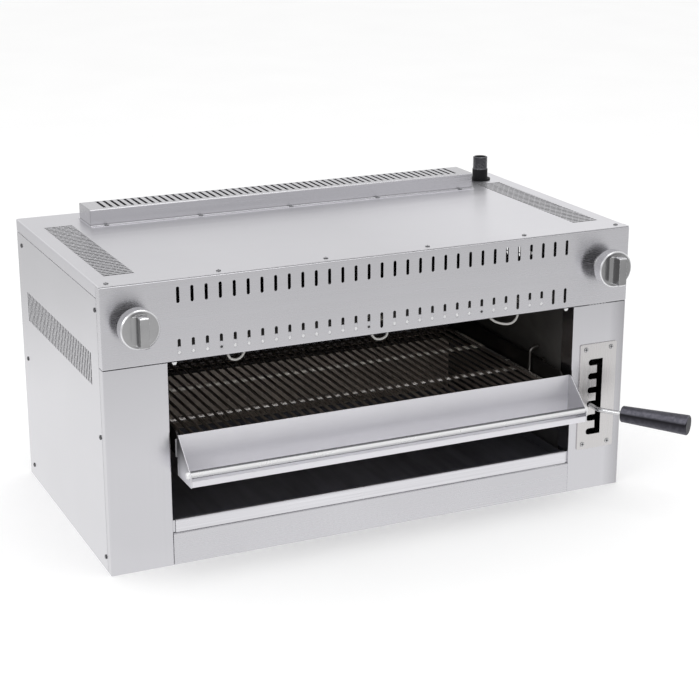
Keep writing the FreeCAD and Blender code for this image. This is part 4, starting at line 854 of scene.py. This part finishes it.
def screw_head(bm, centre, outward, radius, rise, shank):
    """A domed head with a cross recess, on a short shank; the recess and the head's rim are painted dark, as
    painted shade.
    """
    place = Matrix.Translation(centre) @ facing(outward)
    arm_half, arm_end, arm_fade = 0.24 * radius, 0.66 * radius, 0.16 * radius

    def surface(share):
        def row(angle):
            r = radius * share
            near, far = sorted((abs(r * math.cos(angle)), abs(r * math.sin(angle))))
            dome = rise * (1.0 - 0.45 * share ** 2.5)
            arm = max(0.0, 1.0 - near / arm_half) ** 0.5 * clipped((arm_end - far) / arm_fade)
            return r, dome - 0.42 * rise * arm
        return row

    made_before = len(bm.faces)
    shares = (1.0, 0.93, 0.85, 0.76, 0.66, 0.57, 0.48, 0.39, 0.3, 0.21, 0.12)
    rows = [even(radius * 0.45, -shank), even(radius * 0.45, -0.05)]
    rows += [even(radius * 0.98, 0.0), even(radius, rise * 0.12)]
    rows += [surface(share) for share in shares]
    rings = lathe(bm, rows, place, 40)
    bm.faces.new(rings[-1])
    bm.faces.ensure_lookup_table()
    back = place.inverted()
    for face in bm.faces[made_before:]:
        spot = back @ (face.calc_center_median() / MM)
        near, far = sorted((abs(spot.x), abs(spot.y)))
        # Painted shade in the cross recess and round the rim of the head.
        in_cross = spot.z > 0.0 and near < 0.2 * radius and far < 0.62 * radius
        if in_cross or math.hypot(spot.x, spot.y) > 0.94 * radius:
            face.material_index = 1


def pan_screws():
    """The pan-head screws of the casing, of which the ones on top are painted lighter, as painted light."""
    bm = bmesh.new()

    def pan_head(centre, outward):
        screw_head(bm, centre, outward, PAN_RADIUS, PAN_RISE, PAN_SHANK)

    for side in (-1, 1):
        for y in (-SIDE_SCREW_Y, SIDE_SCREW_Y):
            for z in SIDE_SCREW_LEVELS:
                pan_head((side * X_SIDE, y, z), (side, 0, 0))
        for z in SIDE_SCREW_LEVELS[:2]:
            pan_head((side * BACK_SCREW_X, Y_BACK, z), (0, 1, 0))
    for x in LID_SCREW_X:
        pan_head((x, LID_SCREW_Y, Z_TOP), (0, 0, 1))
    for i in range(FLUE_SCREW_COUNT):
        x = FLUE_SCREW_PITCH * (i - (FLUE_SCREW_COUNT - 1) / 2)
        pan_head((x, FLUE_SCREW_Y, Z_TOP + SHEET), (0, 0, 1))
    mesh = finished_mesh(bm, "pan_screws", smooth=35.0)
    add_piece("pan_screws", mesh, screw_steel, ("casing_screws",))
    mesh.materials.append(recess_dark)
    mesh.materials.append(screw_painted_light)
    # Painted light: the screws on top take the lighter steel.
    for face in mesh.polygons:
        if face.center.z > (Z_TOP - 5.0) * MM and face.material_index == 0:
            face.material_index = 2


def plate_screws():
    """The four screws of the selector plate."""
    bm = bmesh.new()
    for x in (PLATE.x - PLATE_SCREW_X, PLATE.x + PLATE_SCREW_X):
        for z in (PLATE.z - PLATE_SCREW_Z, PLATE.z + PLATE_SCREW_Z):
            centre = (x, Y_PLATE, z)
            screw_head(bm, centre, (0, -1, 0), PLATE_SCREW_RADIUS, PLATE_SCREW_RISE, PLATE_SCREW_SHANK)
    mesh = finished_mesh(bm, "plate_screws", smooth=35.0)
    add_piece("plate_screws", mesh, screw_bright, ("selector_screws",))
    mesh.materials.append(recess_dark)


def inlet_stub():
    """The gas inlet: a dark barrel below a cut pipe thread, with its bore."""
    bm = bmesh.new()

    def wall(z):
        def row(angle):
            turn = (z / THREAD_PITCH - angle / (2 * math.pi)) % 1.0
            groove = 1.0 - abs(2.0 * turn - 1.0)
            fade = clipped(min((z - THREAD_START - 0.6) / 1.5, (Z_PIPE - 1.2 - z) / 0.8))
            return PIPE_RADIUS - THREAD_DEPTH * groove * fade - max(0.0, z - (Z_PIPE - 1.0)), z
        return row

    rows = [even(PIPE_BORE, Z_PIPE_FOOT), even(BARREL_RADIUS, Z_PIPE_FOOT)]
    rows += [even(BARREL_RADIUS, THREAD_START - 0.4), even(BARREL_RADIUS - 0.4, THREAD_START)]
    first = THREAD_START + 0.1
    steps = int((Z_PIPE - THREAD_START) / 0.22)
    rows += [wall(first + (Z_PIPE - first) * i / steps) for i in range(steps + 1)]
    rows += [even(PIPE_BORE + 0.4, Z_PIPE), even(PIPE_BORE, Z_PIPE - 0.4), even(PIPE_BORE, Z_PIPE_FOOT)]
    lathe(bm, rows, Matrix.Translation((PIPE.x, PIPE.y, 0.0)), 56)
    mesh = finished_mesh(bm, "inlet_stub", smooth=50.0)
    add_piece("inlet_stub", mesh, black_pipe, ("gas_inlet",))
    mesh.materials.append(thread_steel)
    for face in mesh.polygons:
        if face.center.z > (THREAD_START - 0.2) * MM:
            face.material_index = 1


def slot_pads():
    """The pads pressed forward from the strip into the fascia's lower slots, with a bead at each foot."""
    bm = bmesh.new()
    y = Y_FRONT + PAD_SINK
    for i in range(SLOT_COUNT):
        if i in OPEN_SLOTS:
            continue
        x = SLOT_PITCH * (i - (SLOT_COUNT - 1) / 2)
        outline = [(x + PAD_HALF, PAD_TOP), (x - PAD_HALF, PAD_TOP)]
        for k in range(13):
            turn = math.pi * (1.0 + k / 12)
            outline.append((x + PAD_HALF * math.cos(turn), PAD_FOOT + PAD_HALF * (1.0 + math.sin(turn))))
        prism(bm, outline, y, Y_FRONT + SHEET)
        tilts = [math.pi / 2 * level / 5 for level in range(6)]
        rows = [even(max(BEAD_RADIUS * math.cos(tilt), 0.05), BEAD_RISE * math.sin(tilt)) for tilt in tilts]
        rings = lathe(bm, rows, Matrix.Translation((x, y, BEAD_LEVEL)) @ facing((0, -1, 0)), 20)
        bm.faces.new(rings[-1])
    mesh = finished_mesh(bm, "slot_pads", smooth=60.0)
    add_piece("slot_pads", mesh, steel_x)
    mesh.materials.append(pressed_bright)
    mesh.materials.append(recess_dark)
    # Each bead takes the bright steel as a painted highlight, except the dark ones.
    for face in mesh.polygons:
        if face.center.y < (y - 0.01) * MM:
            at_slot = round(face.center.x / (SLOT_PITCH * MM) + (SLOT_COUNT - 1) / 2)
            face.material_index = 2 if at_slot in DARK_BEADS else 1


def fascia_tabs():
    """The two small tabs that hang from the fascia's lower fold at the ends of the opening."""
    bm = bmesh.new()
    for x in TAB_X:
        shape = [(x - 4.2, Z_COLUMN), (x - 2.0, TAB_FOOT), (x + 2.0, TAB_FOOT), (x + 4.2, Z_COLUMN)]
        prism(bm, shape, Y_FRONT, Y_FRONT + SHEET)
    add_piece("fascia_tabs", finished_mesh(bm, "fascia_tabs"), pressed_bright)


def tray_stops():
    """The turned-in ends of the columns that close the gap at each side of the crumb tray."""
    bm = bmesh.new()
    for side in (-1, 1):
        low, high = sorted((side * (X_OPENING - 4.2), side * (X_OPENING - 0.1)))
        block(bm, (low, STOP_FRONT, Z_LOW_PANEL + 0.4), (high, STOP_FRONT + SHEET, Z_TRAY - 1.0))
    add_piece("tray_stops", finished_mesh(bm, "tray_stops"), steel_z)


vent_webs()
pan_screws()
plate_screws()
inlet_stub()
slot_pads()
fascia_tabs()
tray_stops()


# Studio

# How bright the floor shows in metal, by its distance in metres, of which sideways ones count for less
FLOOR_IN_METAL = ((0.75, 1.0), (1.10, 0.90), (1.40, 0.78), (1.70, 0.74), (3.0, 0.66), (4.0, 0.62))
FLOOR_REACH = 4.0
FLOOR_SIDEWAYS = 0.6
FLOOR_HALF = 60.0
FLOOR_LIFT = 0.16
WORLD_IN_FRONT = 0.62
WHITE = (1.0, 1.0, 1.0, 1.0)
LAMP_TARGET = (0.0, 0.0, 0.2)


def floor_in_metal(s):
    """White near the object and greyer further into the room."""
    flat = s.node("ShaderNodeVectorMath", operation="MULTIPLY")
    flat.inputs[1].default_value = (FLOOR_SIDEWAYS, 1.0, 0.0)
    s.link(s.coords, flat.inputs[0])
    length = s.node("ShaderNodeVectorMath", operation="LENGTH")
    s.link(flat.outputs["Vector"], length.inputs[0])
    ramp = s.node("ShaderNodeValToRGB")
    greys = ramp.color_ramp.elements
    greys.remove(greys[1])
    for k, (reach, grey) in enumerate(FLOOR_IN_METAL):
        element = greys[0] if k == 0 else greys.new(reach / FLOOR_REACH)
        element.position = reach / FLOOR_REACH
        element.color = (grey, grey, grey, 1.0)
    s.link(s.math("DIVIDE", length.outputs["Value"], FLOOR_REACH), ramp.inputs["Fac"])
    glow = s.node("ShaderNodeEmission")
    s.link(ramp.outputs["Color"], glow.inputs["Color"])
    return glow.outputs["Emission"]


def make_floor():
    """A very large, plain, pale floor."""
    mesh = bpy.data.meshes.new("floor")
    half = FLOOR_HALF
    corners = [(-half, -half, 0.0), (half, -half, 0.0), (half, half, 0.0), (-half, half, 0.0)]
    mesh.from_pydata(corners, [], [(0, 1, 2, 3)])
    s = Shader("floor_paper")
    s.set("Base Color", s.blend(s.noise(3.0, 2.0), (0.90, 0.90, 0.90), (0.92, 0.92, 0.92)))
    s.set("Roughness", 1.0)
    s.set("Specular IOR Level", 0.0)
    paths = s.node("ShaderNodeLightPath")
    seen = s.most(paths.outputs["Is Camera Ray"], paths.outputs["Is Transmission Ray"])
    s.main.inputs["Emission Color"].default_value = WHITE
    s.set("Emission Strength", s.times(seen, FLOOR_LIFT))
    either = s.node("ShaderNodeMixShader")
    s.link(paths.outputs["Is Glossy Ray"], either.inputs[0])
    s.link(s.main.outputs["BSDF"], either.inputs[1])
    s.link(floor_in_metal(s), either.inputs[2])
    s.link(either.outputs["Shader"], s.tree.nodes["Material Output"].inputs["Surface"])
    mesh.materials.append(s.material)
    floor = bpy.data.objects.new("floor", mesh)
    bpy.context.scene.collection.objects.link(floor)


def make_world():
    """A soft white studio: white to the camera, and a little darker towards the front to all else."""
    world = bpy.data.worlds.new("studio")
    bpy.context.scene.world = world
    world.use_nodes = True
    tree = world.node_tree
    background = tree.nodes["Background"]
    coords = tree.nodes.new("ShaderNodeTexCoord")
    split = tree.nodes.new("ShaderNodeSeparateXYZ")
    tree.links.new(coords.outputs["Generated"], split.inputs["Vector"])
    depth = tree.nodes.new("ShaderNodeMapRange")
    limits = (-1.0, 0.4, WORLD_IN_FRONT, 1.0)
    for socket, value in zip(("From Min", "From Max", "To Min", "To Max"), limits):
        depth.inputs[socket].default_value = value
    tree.links.new(split.outputs["Y"], depth.inputs["Value"])
    paths = tree.nodes.new("ShaderNodeLightPath")
    seen = tree.nodes.new("ShaderNodeMath")
    seen.operation = "MAXIMUM"
    tree.links.new(paths.outputs["Is Camera Ray"], seen.inputs[0])
    tree.links.new(paths.outputs["Is Transmission Ray"], seen.inputs[1])
    mix = tree.nodes.new("ShaderNodeMix")
    mix.data_type = "FLOAT"
    tree.links.new(seen.outputs["Value"], mix.inputs[0])
    tree.links.new(depth.outputs["Result"], mix.inputs[2])
    mix.inputs[3].default_value = 1.0
    tree.links.new(mix.outputs[0], background.inputs["Strength"])
    background.inputs["Color"].default_value = WHITE


def area_light(name, place, size, power):
    """A rectangular lamp that faces the object, with its size in metres and its power in watts."""
    data = bpy.data.lights.new(name, "AREA")
    data.shape = "RECTANGLE"
    data.size, data.size_y = size
    data.energy = power
    lamp = bpy.data.objects.new(name, data)
    lamp.location = place
    lamp.rotation_euler = (Vector(LAMP_TARGET) - Vector(place)).to_track_quat("-Z", "Y").to_euler()
    bpy.context.scene.collection.objects.link(lamp)


make_floor()
make_world()
area_light("lamp_left", (-3.2, -1.4, 2.2), (2.0, 1.6), power=25.0)
area_light("lamp_top", (0.4, -0.6, 3.2), (2.4, 1.8), power=18.0)

bpy.context.scene.view_settings.view_transform = "Standard"
bpy.context.view_layer.update()
